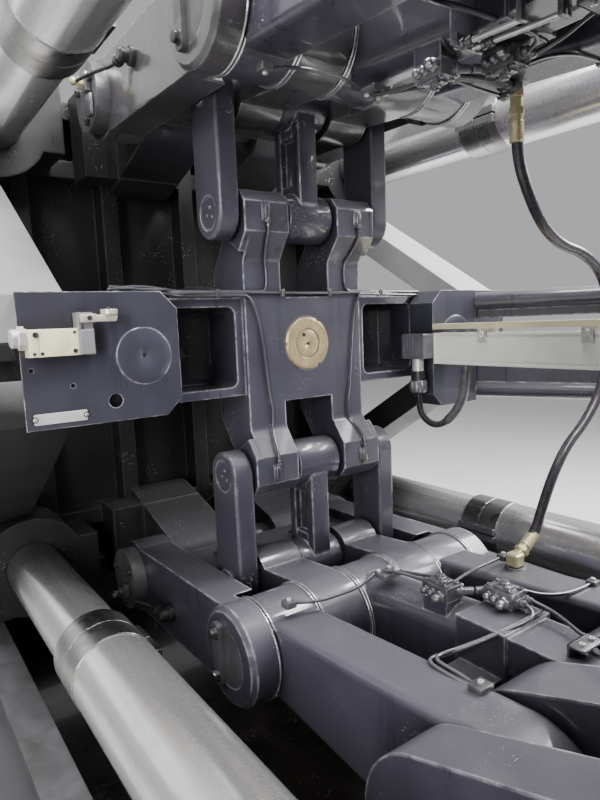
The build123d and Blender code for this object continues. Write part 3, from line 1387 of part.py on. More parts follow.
with BuildPart() as switch_head:
    block(
        PLATE_FRONT_X + SWITCH_EDGE,
        SWITCH_FRONT_X,
        SWITCH_HEAD_Y[0],
        SWITCH_HEAD_Y[1],
        height(SWITCH_Z[0]),
        height(SWITCH_Z[1] - SWITCH_EDGE),
    )
    chamfer(switch_head.faces().sort_by(Axis.X)[-1].edges(), SWITCH_EDGE)
    block(
        PLATE_FRONT_X + SWITCH_EDGE,
        SWITCH_FRONT_X - LEVER_THICKNESS - LEVER_GAP,
        SWITCH_HEAD_Y[0],
        SWITCH_HEAD_Y[1],
        height(SWITCH_Z[1] - SWITCH_EDGE),
        height(LEVER_Z + LEVER_HUB_RADIUS),
    )
    block(
        SWITCH_FRONT_X - LEVER_THICKNESS,
        SWITCH_FRONT_X,
        BRACKET_Y[0],
        BRACKET_Y[1],
        height(SWITCH_Z[1] - SWITCH_EDGE),
        height(BRACKET_TOP),
    )
    round_bar(
        SWITCH_MIDDLE_X,
        SWITCH_FRONT_X - LEVER_THICKNESS - LEVER_GAP,
        LEVER_Y,
        height(LEVER_Z),
        LEVER_SHAFT_RADIUS + LEVER_SHAFT_PLAY,
        Mode.SUBTRACT,
    )
finish(switch_head, "limit_switch_head")

LEVER_X = SWITCH_FRONT_X + LEVER_GAP
with BuildPart() as lever:
    round_bar(
        SWITCH_MIDDLE_X + 2 * LEVER_GAP,
        LEVER_X + LEVER_THICKNESS,
        LEVER_Y,
        height(LEVER_Z),
        LEVER_SHAFT_RADIUS,
    )
    with BuildSketch(Plane.YZ.offset(LEVER_X)):
        tapered_bar(
            (LEVER_Y, height(LEVER_Z)),
            LEVER_EYE_RADIUS,
            (LEVER_ELBOW[0], height(LEVER_ELBOW[1])),
            LEVER_TIP_RADIUS,
        )
    extrude(amount=LEVER_THICKNESS)
    with BuildSketch(Plane.YZ.offset(LEVER_X + LEVER_THICKNESS)):
        tapered_bar(
            (LEVER_SECOND_EYE[0], height(LEVER_SECOND_EYE[1])),
            LEVER_EYE_RADIUS,
            (LEVER_TIP[0], height(LEVER_TIP[1])),
            LEVER_TIP_RADIUS,
        )
    extrude(amount=LEVER_THICKNESS)
    round_bar(
        LEVER_X - ROLLER_WIDTH / 2 + LEVER_THICKNESS,
        LEVER_X + LEVER_THICKNESS + ROLLER_WIDTH,
        ROLLER_Y,
        height(ROLLER_Z),
        ROLLER_RADIUS,
    )
finish(lever, "limit_switch_lever")

# Crosshead position transducer on a carrier in front of the far plate
TRANSDUCER_Y = (300.0, 338.0)
TRANSDUCER_Z = (-62.0, 6.0)
TRANSDUCER_GAP = 4.0
TRANSDUCER_LENGTH = 535.0
TRANSDUCER_FLANGE = 8.0
TRANSDUCER_GROOVE = 3.0
BAR_Z = (15.0, 27.0)
BAR_LEAD = 16.0
CLAMP_STATIONS = (210.0, 438.0)
CLAMP_LENGTH = 22.0
CLAMP_THICKNESS = 5.0
CLAMP_DROP = 20.0
TRANSDUCER_START_X = PLATE_FRONT_X + TRANSDUCER_GAP
TRANSDUCER_END_X = TRANSDUCER_START_X + TRANSDUCER_LENGTH
with BuildPart() as transducer:
    block(
        TRANSDUCER_START_X,
        TRANSDUCER_END_X,
        TRANSDUCER_Y[0],
        TRANSDUCER_Y[1],
        height(TRANSDUCER_Z[0]),
        height(TRANSDUCER_Z[1]),
    )
    for z in (TRANSDUCER_Z[0] + TRANSDUCER_FLANGE, TRANSDUCER_Z[1] - TRANSDUCER_FLANGE):
        block(
            TRANSDUCER_START_X,
            TRANSDUCER_END_X,
            TRANSDUCER_Y[0],
            TRANSDUCER_Y[0] + TRANSDUCER_GROOVE,
            height(z - TRANSDUCER_GROOVE / 2),
            height(z + TRANSDUCER_GROOVE / 2),
            Mode.SUBTRACT,
        )
finish(transducer, "transducer")

with BuildPart() as transducer_rail:
    block(
        TRANSDUCER_START_X - BAR_LEAD,
        TRANSDUCER_END_X,
        TRANSDUCER_Y[0],
        TRANSDUCER_Y[1],
        height(BAR_Z[0]),
        height(BAR_Z[1]),
    )
    block(
        TRANSDUCER_START_X - BAR_LEAD - SIDE_PLAY,
        PLATE_FRONT_X,
        TRANSDUCER_Y[0] - SIDE_PLAY,
        TRANSDUCER_Y[1] + SIDE_PLAY,
        height(BAR_Z[0]),
        height(BAR_Z[1]),
        Mode.SUBTRACT,
    )
finish(transducer_rail, "transducer_rail")

# Clamps that hold the transducer under its bar, and its plug
CLAMP_BOLT_RADIUS = 4.0
with BuildPart() as clamps:
    for station in CLAMP_STATIONS:
        x = CROSS_X + station
        block(
            x - CLAMP_LENGTH / 2,
            x + CLAMP_LENGTH / 2,
            TRANSDUCER_Y[0] - CLAMP_THICKNESS,
            TRANSDUCER_Y[0],
            height(TRANSDUCER_Z[1] - CLAMP_DROP),
            height(BAR_Z[0]),
        )
        block(
            x - CLAMP_LENGTH / 2,
            x + CLAMP_LENGTH / 2,
            TRANSDUCER_Y[0] - CLAMP_THICKNESS,
            TRANSDUCER_Y[1],
            height(TRANSDUCER_Z[1]),
            height(BAR_Z[0]),
        )
        cross_bar(
            TRANSDUCER_Y[0] - 3 * CLAMP_THICKNESS,
            TRANSDUCER_Y[0] - CLAMP_THICKNESS,
            x,
            height(TRANSDUCER_Z[1] - TRANSDUCER_FLANGE),
            CLAMP_BOLT_RADIUS,
        )
        with BuildSketch(side_plane(TRANSDUCER_Y[0] - CLAMP_THICKNESS)):
            with Locations((x, height(TRANSDUCER_Z[1] - TRANSDUCER_FLANGE))):
                RegularPolygon(2 * CLAMP_BOLT_RADIUS, 6)
        extrude(amount=across(0, -CLAMP_THICKNESS))
finish(clamps, "transducer_clamps")

PLUG_SETBACK = 8.0
PLUG_X = (CROSS_X + PLUG_SETBACK, TRANSDUCER_START_X)
PLUG_Y = (266.0, 301.0)
PLUG_Z = (-50.0, 6.0)
PLUG_RIB_PITCH = 9.0
PLUG_RIB_DEPTH = 3.0
PLUG_RIBS = 6
PLUG_RIB_MARGIN = 8.0
PLUG_EDGE = 3.0
CONDUIT_X = CROSS_X + 42
CONDUIT_Y = 283.0
GLAND_NECK_RADIUS = 10.0
GLAND_HEX_RADIUS = 13.0
GLAND_RING_RADIUS = 16.0
GLAND_KNURLS = 12
GLAND_KNURL_RADIUS = 2.0
GLAND_RING_Z = (-127.0, -104.0)
GLAND_SOCKET = 24.0
with BuildPart() as plug:
    block(PLUG_X[0], PLUG_X[1], PLUG_Y[0], PLUG_Y[1], height(PLUG_Z[0]), height(PLUG_Z[1]))
    chamfer(plug.edges().filter_by(Axis.Y), PLUG_EDGE)
    for rib in range(1, PLUG_RIBS + 1):
        block(
            PLUG_X[0] + rib * PLUG_RIB_PITCH - PLUG_RIB_DEPTH / 2,
            PLUG_X[0] + rib * PLUG_RIB_PITCH + PLUG_RIB_DEPTH / 2,
            PLUG_Y[0],
            PLUG_Y[0] + PLUG_RIB_DEPTH / 2,
            height(PLUG_Z[0] + PLUG_RIB_MARGIN),
            height(PLUG_Z[1] - PLUG_RIB_MARGIN),
            Mode.SUBTRACT,
        )
    with BuildSketch(Plane.XY.offset(height(GLAND_RING_Z[1]))):
        with Locations((CONDUIT_X, CONDUIT_Y)):
            Circle(GLAND_NECK_RADIUS)
    extrude(amount=PLUG_Z[0] - GLAND_RING_Z[1])
    with BuildSketch(Plane.XY.offset(height(PLUG_Z[0] - GLAND_SOCKET))):
        with Locations((CONDUIT_X, CONDUIT_Y)):
            RegularPolygon(GLAND_HEX_RADIUS, 6)
    extrude(amount=GLAND_SOCKET)
    with BuildSketch(Plane.XY.offset(height(GLAND_RING_Z[0]))):
        with Locations((CONDUIT_X, CONDUIT_Y)):
            Circle(GLAND_RING_RADIUS)
            with PolarLocations(GLAND_RING_RADIUS, GLAND_KNURLS):
                Circle(GLAND_KNURL_RADIUS, mode=Mode.SUBTRACT)
    extrude(amount=GLAND_RING_Z[1] - GLAND_RING_Z[0])
finish(plug, "transducer_connector")

# Stay frame: two bars and two strips from the far plate's outer side, joined by an end block
STAY_LENGTH = 420.0
STAY_ANGLE = 22.0
STAY_SETBACK = 35.0
STAY_X = CROSS_X + STAY_SETBACK
STAYS = ((76.0, 21.0), (-136.0, 18.0))
STRIP_THICKNESS = 8.0
STRIPS = ((36.0, 65.0), (-122.0, -61.0))
STAY_BLOCK = 56.0
STAY_BLOCK_CORNER = 11.0
stay_heading = Vector(math.cos(math.radians(STAY_ANGLE)), math.sin(math.radians(STAY_ANGLE)), 0)
stay_plane = Plane(origin=(STAY_X, FAR_PLATE_OUTER_Y, CENTRE_HEIGHT), z_dir=stay_heading, x_dir=(0, 0, 1))
with BuildPart() as stays:
    with BuildSketch(stay_plane.offset(-STAY_BLOCK)):
        for z, radius in STAYS:
            with Locations((z, 0)):
                Circle(radius)
        for z_from, z_to in STRIPS:
            with Locations(((z_from + z_to) / 2, 0)):
                Rectangle(z_to - z_from, STRIP_THICKNESS)
    extrude(amount=STAY_LENGTH + STAY_BLOCK)
    with BuildSketch(stay_plane.offset(STAY_LENGTH - STAY_BLOCK)):
        with Locations(((STAYS[0][0] + STAYS[1][0]) / 2, 0)):
            RectangleRounded(STAYS[0][0] - STAYS[1][0] + STAY_BLOCK, STAY_BLOCK, STAY_BLOCK_CORNER)
    extrude(amount=STAY_BLOCK)
    block(
        CROSS_X - 2 * STAY_BLOCK,
        PLATE_FRONT_X,
        FAR_PLATE_INNER_Y,
        FAR_PLATE_OUTER_Y,
        height(-FAR_PLATE_DROP - STAY_BLOCK),
        height(PLATE_TOP + STAY_BLOCK),
        Mode.SUBTRACT,
    )
    block(
        CROSS_X - 2 * STAY_BLOCK,
        CROSS_X + BRACKET_THICKNESS,
        FAR_PLATE_INNER_Y,
        HALF_WIDTH,
        height(-FAR_PLATE_DROP - STAY_BLOCK),
        height(PLATE_TOP + STAY_BLOCK),
        Mode.SUBTRACT,
    )
finish(stays, "stay_frame")

# Oil hose between the fittings on the two front links' far beams, and the transducer's conduit
FITTING_SIZE = 26.0
FITTING_RADIUS = 11.0
FITTING_REACH = 34.0
FITTING_TILT = 60.0
HANGER_LENGTH = 60.0
FITTING_EDGE = 3.0
FITTING_HEX_RADIUS = 14.0
FITTING_HEX_START = 20.0
FITTING_HEX_LENGTH = 8.0
HANGER_HEX_STARTS = (10.0, 40.0)
HANGER_HEX_LENGTH = 12.0
HOSE_LEAD = 40.0
hose_lift = Vector(0, math.sin(math.radians(FITTING_TILT)), math.cos(math.radians(FITTING_TILT)))
elbow_centre = Vector(FITTING_X, FITTING_Y, height(-FITTING_SEAT_Z) + FITTING_SIZE / 2)
hose_start = elbow_centre + hose_lift * FITTING_REACH
hose_end = Vector(FITTING_X, FITTING_Y, height(FITTING_SEAT_Z) - HANGER_LENGTH)
with BuildPart() as fittings:
    with Locations(elbow_centre):
        Box(FITTING_SIZE, FITTING_SIZE, FITTING_SIZE)
    chamfer(fittings.edges(), FITTING_EDGE)
    with BuildSketch(Plane(origin=elbow_centre, z_dir=hose_lift)):
        Circle(FITTING_RADIUS)
    extrude(amount=FITTING_REACH)
    with BuildSketch(Plane(origin=elbow_centre + hose_lift * FITTING_HEX_START, z_dir=hose_lift)):
        RegularPolygon(FITTING_HEX_RADIUS, 6)
    extrude(amount=FITTING_HEX_LENGTH)
    with BuildSketch(Plane(origin=hose_end, z_dir=(0, 0, 1))):
        Circle(FITTING_RADIUS)
    extrude(amount=HANGER_LENGTH)
    for lift in HANGER_HEX_STARTS:
        with BuildSketch(Plane(origin=hose_end + Vector(0, 0, lift), z_dir=(0, 0, 1))):
            RegularPolygon(FITTING_HEX_RADIUS, 6)
        extrude(amount=HANGER_HEX_LENGTH)
finish(fittings, "hose_fittings")

HOSE_DIAMETER = 20.0
CONDUIT_DIAMETER = 16.0
CORD_SHARE = 0.45
CORDS = {
    "oil_hose": (
        HOSE_DIAMETER,
        (
            tuple(hose_start),
            tuple(hose_start + hose_lift * HOSE_LEAD),
            (FITTING_X, 304, height(-336)),
            (FITTING_X, 336, height(-282)),
            (FITTING_X - 1, 385, height(-228)),
            (FITTING_X - 2, 450, height(-192)),
            (FITTING_X - 1, 514, height(-130)),
            (FITTING_X + 1, 541, height(-40)),
            (FITTING_X + 2, 538, height(55)),
            (FITTING_X + 1, 498, height(125)),
            (FITTING_X - 1, 436, height(158)),
            (FITTING_X - 2, 358, height(170)),
            (FITTING_X - 1, 294, height(203)),
            (FITTING_X, 250, height(256)),
            (FITTING_X, FITTING_Y, height(318)),
            tuple(hose_end),
        ),
    ),
    "transducer_conduit": (
        CONDUIT_DIAMETER,
        (
            (CONDUIT_X, CONDUIT_Y, height(GLAND_RING_Z[0])),
            (CONDUIT_X, CONDUIT_Y, height(-160)),
            (CROSS_X + 58, 289, height(-200)),
            (CROSS_X + 95, 301, height(-218)),
            (CROSS_X + 132, 312, height(-200)),
            (CROSS_X + 148, 316, height(-158)),
            (CROSS_X + 151, 317, height(-110)),
            (CROSS_X + 151, 317, height(TRANSDUCER_Z[0])),
        ),
    ),
}
for name, (diameter, points) in CORDS.items():
    corners = [Vector(*point) for point in points]
    radii = []
    for before, here, after in zip(corners, corners[1:], corners[2:]):
        turn = math.radians((here - before).get_angle(after - here))
        shorter = min((here - before).length, (after - here).length)
        radii.append(CORD_SHARE * shorter / math.tan(turn / 2))
    with BuildPart() as cord:
        with BuildLine() as route:
            FilletPolyline(*corners, radius=radii)
        path = route.wires()[0]
        with BuildSketch(Plane(origin=path @ 0, z_dir=path % 0)):
            Circle(diameter / 2)
        sweep(path=path)
    section = math.pi * diameter**2 / 4
    print(name, "length", round(path.length, 1), "radii", [round(radius) for radius in radii])
    print(name, "volume over section times length", round(cord.part.volume / section / path.length, 5))
    finish(cord, name)
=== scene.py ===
import math

import bmesh
import bpy
from mathutils import Matrix, Vector


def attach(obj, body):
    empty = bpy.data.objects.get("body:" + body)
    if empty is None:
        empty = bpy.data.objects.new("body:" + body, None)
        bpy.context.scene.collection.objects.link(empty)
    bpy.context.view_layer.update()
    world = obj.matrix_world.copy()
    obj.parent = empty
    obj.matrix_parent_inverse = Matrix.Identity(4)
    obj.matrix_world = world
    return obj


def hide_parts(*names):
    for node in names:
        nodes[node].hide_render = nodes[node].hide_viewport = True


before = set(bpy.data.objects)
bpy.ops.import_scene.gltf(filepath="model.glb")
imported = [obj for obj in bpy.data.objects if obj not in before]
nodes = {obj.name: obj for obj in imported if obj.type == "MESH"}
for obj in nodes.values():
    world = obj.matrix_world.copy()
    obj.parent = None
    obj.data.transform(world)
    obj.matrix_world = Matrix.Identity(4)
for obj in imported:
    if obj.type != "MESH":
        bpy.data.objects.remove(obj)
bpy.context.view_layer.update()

CARRIAGE = "clamp_carriage"
LEVER = "switch_lever"
NUT_X = -480.0
NUT_Z = 1250.0
UP = Vector((0, 0, 1))


def at(x, y, z):
    """A point given in millimetres from the bronze nut's centre, in the frame's metres."""
    return Vector(((x + NUT_X) / 1000, y / 1000, (z + NUT_Z) / 1000))


def placed(name, data):
    """A new object in the scene."""
    made = bpy.data.objects.new(name, data)
    bpy.context.scene.collection.objects.link(made)
    return made


# Camera, fitted to the photograph
YAW, PITCH, ROLL = math.radians(35.214), math.radians(7.219), math.radians(2.349)
CAMERA_PLACE = (1029.1, -750.1, 42.5)
forward = Vector((-math.cos(YAW) * math.cos(PITCH), math.sin(YAW) * math.cos(PITCH), -math.sin(PITCH)))
level_right = forward.cross(UP).normalized()
level_down = forward.cross(level_right)
right = level_right * math.cos(ROLL) + level_down * math.sin(ROLL)
down = level_down * math.cos(ROLL) - level_right * math.sin(ROLL)
camera_data = bpy.data.cameras.new("camera")
camera_data.lens = 27.48
camera_data.sensor_width = 36.0
camera_data.clip_start = 0.02
camera_data.clip_end = 60.0
camera = placed("camera", camera_data)
camera_axes = Matrix((right, -down, -forward)).transposed()
camera.matrix_world = Matrix.Translation(at(*CAMERA_PLACE)) @ camera_axes.to_4x4()
bpy.context.scene.camera = camera


# Materials
COAT = 0.7
COAT_ROUGHNESS = 0.08
# The casting paint darkens along X with painted shade from the first value to the last; its coat fades out by the
# middle one.
REAR_SHADE_FROM, GLOSS_TO, REAR_SHADE_TO = -0.50, -0.86, -0.88
THREAD_FROM, THREAD_TO = -1.205, -1.215
THREAD_PITCH = 0.006
TURNING_PITCH = 0.0011


class Shade:
    """A procedural material on the Principled shader, in the frame's own coordinates."""

    def __init__(self, name):
        self.material = bpy.data.materials.new(name)
        self.material.use_nodes = True
        self.tree = self.material.node_tree
        self.tree.nodes.clear()
        self.shader = self.node("ShaderNodeBsdfPrincipled")
        self.node("ShaderNodeOutputMaterial", Surface=self.shader.outputs["BSDF"])
        self.place = self.node("ShaderNodeTexCoord").outputs["Object"]

    def feed(self, socket, value):
        """Link a value to a socket, or write a uniform one there."""
        if isinstance(value, bpy.types.NodeSocket):
            self.tree.links.new(value, socket)
        else:
            socket.default_value = value

    def node(self, kind, **inputs):
        """A new node with these values at its inputs."""
        node = self.tree.nodes.new(kind)
        for name, value in inputs.items():
            self.feed(node.inputs[name.replace("_", " ")], value)
        return node

    def set(self, **values):
        """Values for the shader itself."""
        for name, value in values.items():
            self.feed(self.shader.inputs[name.replace("_", " ")], value)

    def stretched(self, scale):
        if scale is None:
            return self.place
        return self.node("ShaderNodeMapping", Vector=self.place, Scale=scale).outputs["Vector"]

    def noise(self, scale, detail=4.0, stretch=None, distortion=0.0):
        vector = self.stretched(stretch)
        node = self.node("ShaderNodeTexNoise", Vector=vector, Scale=scale, Detail=detail, Distortion=distortion)
        return node.outputs["Fac"]

    def cells(self, scale, stretch=None):
        return self.node("ShaderNodeTexVoronoi", Vector=self.stretched(stretch), Scale=scale).outputs["Distance"]

    def ramp(self, value, low, high, low_value=0.0, high_value=1.0):
        node = self.node(
            "ShaderNodeMapRange", Value=value, From_Min=low, From_Max=high, To_Min=low_value, To_Max=high_value
        )
        return node.outputs["Result"]

    def mix(self, share, a, b):
        node = self.node("ShaderNodeMix")
        node.data_type = "RGBA"
        self.feed(node.inputs["Factor"], share)
        for name, value in (("A", a), ("B", b)):
            socket = next(s for s in node.inputs if s.name == name and s.type == "RGBA")
            self.feed(socket, (*value, 1.0) if isinstance(value, tuple) else value)
        return next(s for s in node.outputs if s.type == "RGBA")

    def math(self, how, a, b=0.0):
        node = self.node("ShaderNodeMath")
        node.operation = how
        self.feed(node.inputs[0], a)
        self.feed(node.inputs[1], b)
        return node.outputs[0]

    def times(self, a, b):
        return self.math("MULTIPLY", a, b)

    def axis(self, name, vector=None):
        return self.node("ShaderNodeSeparateXYZ", Vector=vector or self.place).outputs[name]

    def facing_up(self, low=0.4, high=0.9):
        return self.ramp(self.axis("Z", self.node("ShaderNodeNewGeometry").outputs["Normal"]), low, high)

    def soft_edges(self, radius):
        """The normal with rounded edges, and how near a point is to an edge."""
        bevel = self.node("ShaderNodeBevel", Radius=radius)
        bevel.samples = 4
        dot = self.node("ShaderNodeVectorMath")
        dot.operation = "DOT_PRODUCT"
        self.feed(dot.inputs[0], bevel.outputs["Normal"])
        self.feed(dot.inputs[1], self.node("ShaderNodeNewGeometry").outputs["Normal"])
        return bevel.outputs["Normal"], self.ramp(dot.outputs["Value"], 0.995, 0.86)

    def crevice(self, reach):
        """How open a place is: 0 deep in a corner, 1 on an open face."""
        node = self.node("ShaderNodeAmbientOcclusion", Distance=reach)
        node.samples = 4
        return node.outputs["AO"]

    def bump(self, height, strength, distance, normal):
        node = self.node("ShaderNodeBump", Height=height, Strength=strength, Distance=distance, Normal=normal)
        return node.outputs["Normal"]


def oily_paint(name, dark, light, film, edge, drops=True, edge_radius=0.006, rough=(0.40, 0.24), rear_shade=True):
    """Semi-gloss paint on a casting under a glossy coat: soft blotches, painted light on upward faces, small wet drops
    with painted glints, bright edges of wear and painted highlight, and painted shade in crevices and, with rear_shade,
    towards the rear.
    """
    shade = Shade(name)
    normal, near_edge = shade.soft_edges(edge_radius)
    blotch = shade.ramp(shade.noise(2.4, 3.0), 0.3, 0.7)
    grime = shade.ramp(shade.noise(11.0, 5.0, distortion=0.3), 0.46, 0.78)
    streak = shade.ramp(shade.noise(1.0, 4.0, stretch=(38, 38, 2.6)), 0.52, 0.72)
    colour = shade.mix(blotch, dark, light)
    colour = shade.mix(shade.times(grime, 0.42), colour, tuple(0.45 * c for c in dark))
    up = shade.facing_up()
    streak = shade.times(streak, shade.math("SUBTRACT", 1.0, up))
    colour = shade.mix(shade.times(streak, 0.28), colour, tuple(0.5 * c for c in dark))
    # Painted light: upward faces are mixed towards the lighter film colour.
    painted_top_light = shade.times(up, shade.ramp(shade.noise(6.0, 4.0), 0.25, 0.75, 0.45, 0.85))
    colour = shade.mix(painted_top_light, colour, film)
    # Painted highlight, partly edge wear: broken bright lines in the edge colour along the rounded edges.
    edge_breaks = shade.ramp(shade.noise(34.0, 8.0, distortion=0.9), 0.40, 0.62, 0.15, 1.0)
    edge_wear_and_highlight = shade.times(near_edge, edge_breaks)
    colour = shade.mix(edge_wear_and_highlight, colour, edge)
    # Painted shade: in crevices and corners the colour darkens to a tenth of the dark tone.
    painted_crevice_shade = shade.ramp(shade.crevice(0.16), 0.92, 0.30, 0.0, 0.86)
    colour = shade.mix(painted_crevice_shade, colour, tuple(0.12 * c for c in dark))
    roughness = shade.ramp(streak, 0.0, 1.0, rough[0], rough[1])
    coat = COAT
    if rear_shade:
        # Painted shade: towards the rear the colour turns near black; there the surface also turns rougher and loses
        # its coat.
        x = shade.axis("X")
        rear_darkening = shade.ramp(x, REAR_SHADE_FROM, REAR_SHADE_TO, 0.0, 0.95)
        colour = shade.mix(rear_darkening, colour, (0.005, 0.005, 0.005))
        roughness = shade.math("ADD", roughness, shade.times(rear_darkening, 0.2))
        coat = shade.ramp(x, REAR_SHADE_FROM, GLOSS_TO, COAT, 0.0)
    roughness = shade.math("SUBTRACT", roughness, shade.times(grime, 0.10))
    grain = shade.noise(240.0, 3.0)
    swell = shade.noise(20.0, 3.0)
    normal = shade.bump(swell, 0.20, 0.005, normal)
    normal = shade.bump(grain, 0.14, 0.0011, normal)
    if drops:
        where_spots = shade.ramp(shade.noise(13.0, 4.0), 0.57, 0.65)
        spots = shade.times(shade.ramp(shade.cells(150.0), 0.26, 0.12), where_spots)
        where_flecks = shade.ramp(shade.noise(9.0, 5.0), 0.60, 0.68)
        flecks = shade.times(shade.ramp(shade.cells(340.0), 0.22, 0.10), where_flecks)
        drops_and_glints = shade.math("MAXIMUM", spots, flecks)
        runs = shade.ramp(shade.cells(1.0, stretch=(130, 130, 22)), 0.17, 0.07)
        where_runs = shade.ramp(shade.noise(7.0, 3.0, stretch=(1, 1, 0.4)), 0.57, 0.63)
        run = shade.times(shade.times(runs, where_runs), shade.math("SUBTRACT", 1.0, up))
        wet = shade.math("MAXIMUM", drops_and_glints, run)
        normal = shade.bump(wet, 0.9, 0.0018, normal)
        roughness = shade.math("SUBTRACT", roughness, shade.times(wet, 0.26))
        # Painted glints: the drops are coloured pale grey; their bumps and lower roughness are real.
        colour = shade.mix(shade.times(drops_and_glints, 0.6), colour, (0.50, 0.50, 0.53))
    roughness = shade.math("MAXIMUM", roughness, 0.06)
    shade.set(Base_Color=colour, Roughness=roughness, Normal=normal, Coat_Weight=coat, Coat_Roughness=COAT_ROUGHNESS)
    return shade.material


def brace_paint():
    """Pale paint on the upper braces, turned near black by painted shade on the lower ones."""
    shade = Shade("light_paint")
    normal, near_edge = shade.soft_edges(0.004)
    cloud = shade.ramp(shade.noise(5.0, 5.0, distortion=0.5), 0.32, 0.7)
    colour = shade.mix(cloud, (0.41, 0.40, 0.395), (0.31, 0.30, 0.295))
    colour = shade.mix(shade.times(near_edge, 0.5), colour, (0.56, 0.55, 0.54))
    drift = shade.times(shade.noise(7.0, 4.0), 0.10)
    # Painted shade: below a wavy height the colour turns near black.
    low = shade.ramp(shade.math("SUBTRACT", shade.axis("Z"), drift), 1.215, 1.115)
    colour = shade.mix(low, colour, (0.017, 0.016, 0.016))
    normal = shade.bump(shade.noise(230.0, 3.0), 0.14, 0.001, normal)
    shade.set(Base_Color=colour, Roughness=shade.ramp(cloud, 0.0, 1.0, 0.40, 0.55), Normal=normal)
    return shade.material


def worn_metal(name, dark, light, rough, metallic=1.0, grain=(90, 90, 90), grain_depth=0.0004):
    """Bare or plated metal with machining lines, stains and soft edges."""
    shade = Shade(name)
    normal, near_edge = shade.soft_edges(0.0015)
    stain = shade.ramp(shade.noise(14.0, 7.0, distortion=0.5), 0.36, 0.68)
    colour = shade.mix(stain, light, dark)
    colour = shade.mix(shade.times(near_edge, 0.6), colour, tuple(min(1.0, 1.35 * c) for c in light))
    lines = shade.noise(6.0, 4.0, stretch=grain)
    roughness = shade.ramp(shade.math("ADD", lines, stain), 0.5, 1.4, rough[0], rough[1])
    normal = shade.bump(lines, 0.25, grain_depth, normal)
    shade.set(Base_Color=colour, Metallic=metallic, Roughness=roughness, Normal=normal)
    return shade.material


def tie_bar_steel():
    """Ground bars with an oily brown film, turned rings, and a thread at the rear end."""
    shade = Shade("tie_bar_steel")
    normal = shade.soft_edges(0.002)[0]
    long_stain = shade.ramp(shade.noise(1.0, 7.0, stretch=(2.2, 26, 26), distortion=0.8), 0.38, 0.66)
    blot = shade.ramp(shade.noise(19.0, 6.0), 0.48, 0.7)
    film = shade.math("MAXIMUM", long_stain, shade.times(blot, 0.5))
    colour = shade.mix(shade.times(film, 0.75), (0.82, 0.825, 0.845), (0.50, 0.475, 0.455))
    colour = shade.mix(shade.times(shade.facing_up(0.2, 0.9), 0.12), colour, (0.42, 0.34, 0.26))
    rings = shade.noise(1.0, 3.0, stretch=(900, 4, 4))
    roughness = shade.ramp(shade.math("ADD", rings, film), 0.3, 1.6, 0.14, 0.34)
    x = shade.axis("X")
    # Darker towards the rear end: a brown oil film together with painted shade.
    rear_darkening = shade.ramp(x, -0.60, -0.80, 0.0, 0.80)
    colour = shade.mix(rear_darkening, colour, (0.040, 0.034, 0.027))
    thread = shade.math("SINE", shade.times(x, 2 * math.pi / THREAD_PITCH))
    zone = shade.ramp(x, THREAD_FROM, THREAD_TO)
    normal = shade.bump(shade.times(thread, zone), 0.9, 0.0024, normal)
    shade.set(Base_Color=colour, Metallic=0.82, Roughness=roughness, Normal=normal)
    return shade.material


def turned_bronze():
    """The piston nut: turned rings about the machine's centre line, random stains and bright edges."""
    shade = Shade("turned_bronze")
    normal, near_edge = shade.soft_edges(0.0015)
    y = shade.axis("Y")
    z = shade.math("SUBTRACT", shade.axis("Z"), NUT_Z / 1000)
    square = shade.math("ADD", shade.times(y, y), shade.times(z, z))
    radius = shade.math("SQRT", square)
    rings = shade.math("SINE", shade.times(radius, 2 * math.pi / TURNING_PITCH))
    stain = shade.ramp(shade.noise(34.0, 6.0), 0.42, 0.7)
    colour = shade.mix(stain, (0.74, 0.60, 0.345), (0.48, 0.37, 0.20))
    colour = shade.mix(shade.times(near_edge, 0.6), colour, (0.95, 0.83, 0.56))
    normal = shade.bump(rings, 0.3, 0.00012, normal)
    roughness = shade.ramp(stain, 0.0, 1.0, 0.26, 0.44)
    shade.set(Base_Color=colour, Metallic=0.6, Roughness=roughness, Normal=normal)
    return shade.material


def moulded(name, dark, light, rough, grain=900.0, depth=0.0003):
    """Plastic, rubber or enamel with a fine grain and handling marks."""
    shade = Shade(name)
    normal, near_edge = shade.soft_edges(0.001)
    marks = shade.ramp(shade.noise(40.0, 6.0, distortion=0.4), 0.4, 0.72)
    colour = shade.mix(marks, light, dark)
    colour = shade.mix(shade.times(near_edge, 0.35), colour, tuple(min(1.0, 1.3 * c) for c in light))
    normal = shade.bump(shade.noise(grain, 2.0), 0.3, depth, normal)
    roughness = shade.ramp(marks, 0.0, 1.0, rough[0], rough[1])
    shade.set(Base_Color=colour, Roughness=roughness, Normal=normal)
    return shade.material


# Each oily paint's colours are dark, light, film and edge: the film colour paints light on upward faces, and the edge
# colour paints highlight on the edges, partly edge wear.
CASTING = oily_paint(
    "casting_paint", (0.058, 0.054, 0.077), (0.078, 0.073, 0.102), (0.140, 0.134, 0.150), (0.86, 0.86, 0.92)
)
ARM_PAINT = oily_paint(
    "arm_paint", (0.058, 0.053, 0.058), (0.074, 0.068, 0.074), (0.120, 0.114, 0.120), (0.50, 0.50, 0.53), rear_shade=False
)
PLATE_PAINT = oily_paint(
    "plate_paint", (0.046, 0.044, 0.062), (0.056, 0.054, 0.075), (0.10, 0.098, 0.11), (0.80, 0.80, 0.86),
    drops=False, edge_radius=0.0025, rough=(0.36, 0.28), rear_shade=False,
)
BED_PAINT = oily_paint(
    "bed_paint", (0.024, 0.026, 0.032), (0.037, 0.040, 0.047), (0.085, 0.083, 0.085), (0.19, 0.19, 0.20),
    drops=False, rear_shade=False,
)
LIGHT_PAINT = brace_paint()
CYLINDER_PAINT = oily_paint(
    "cylinder_paint", (0.050, 0.050, 0.064), (0.072, 0.072, 0.088), (0.10, 0.10, 0.106), (0.20, 0.205, 0.22),
    drops=False, edge_radius=0.003, rear_shade=False,
)
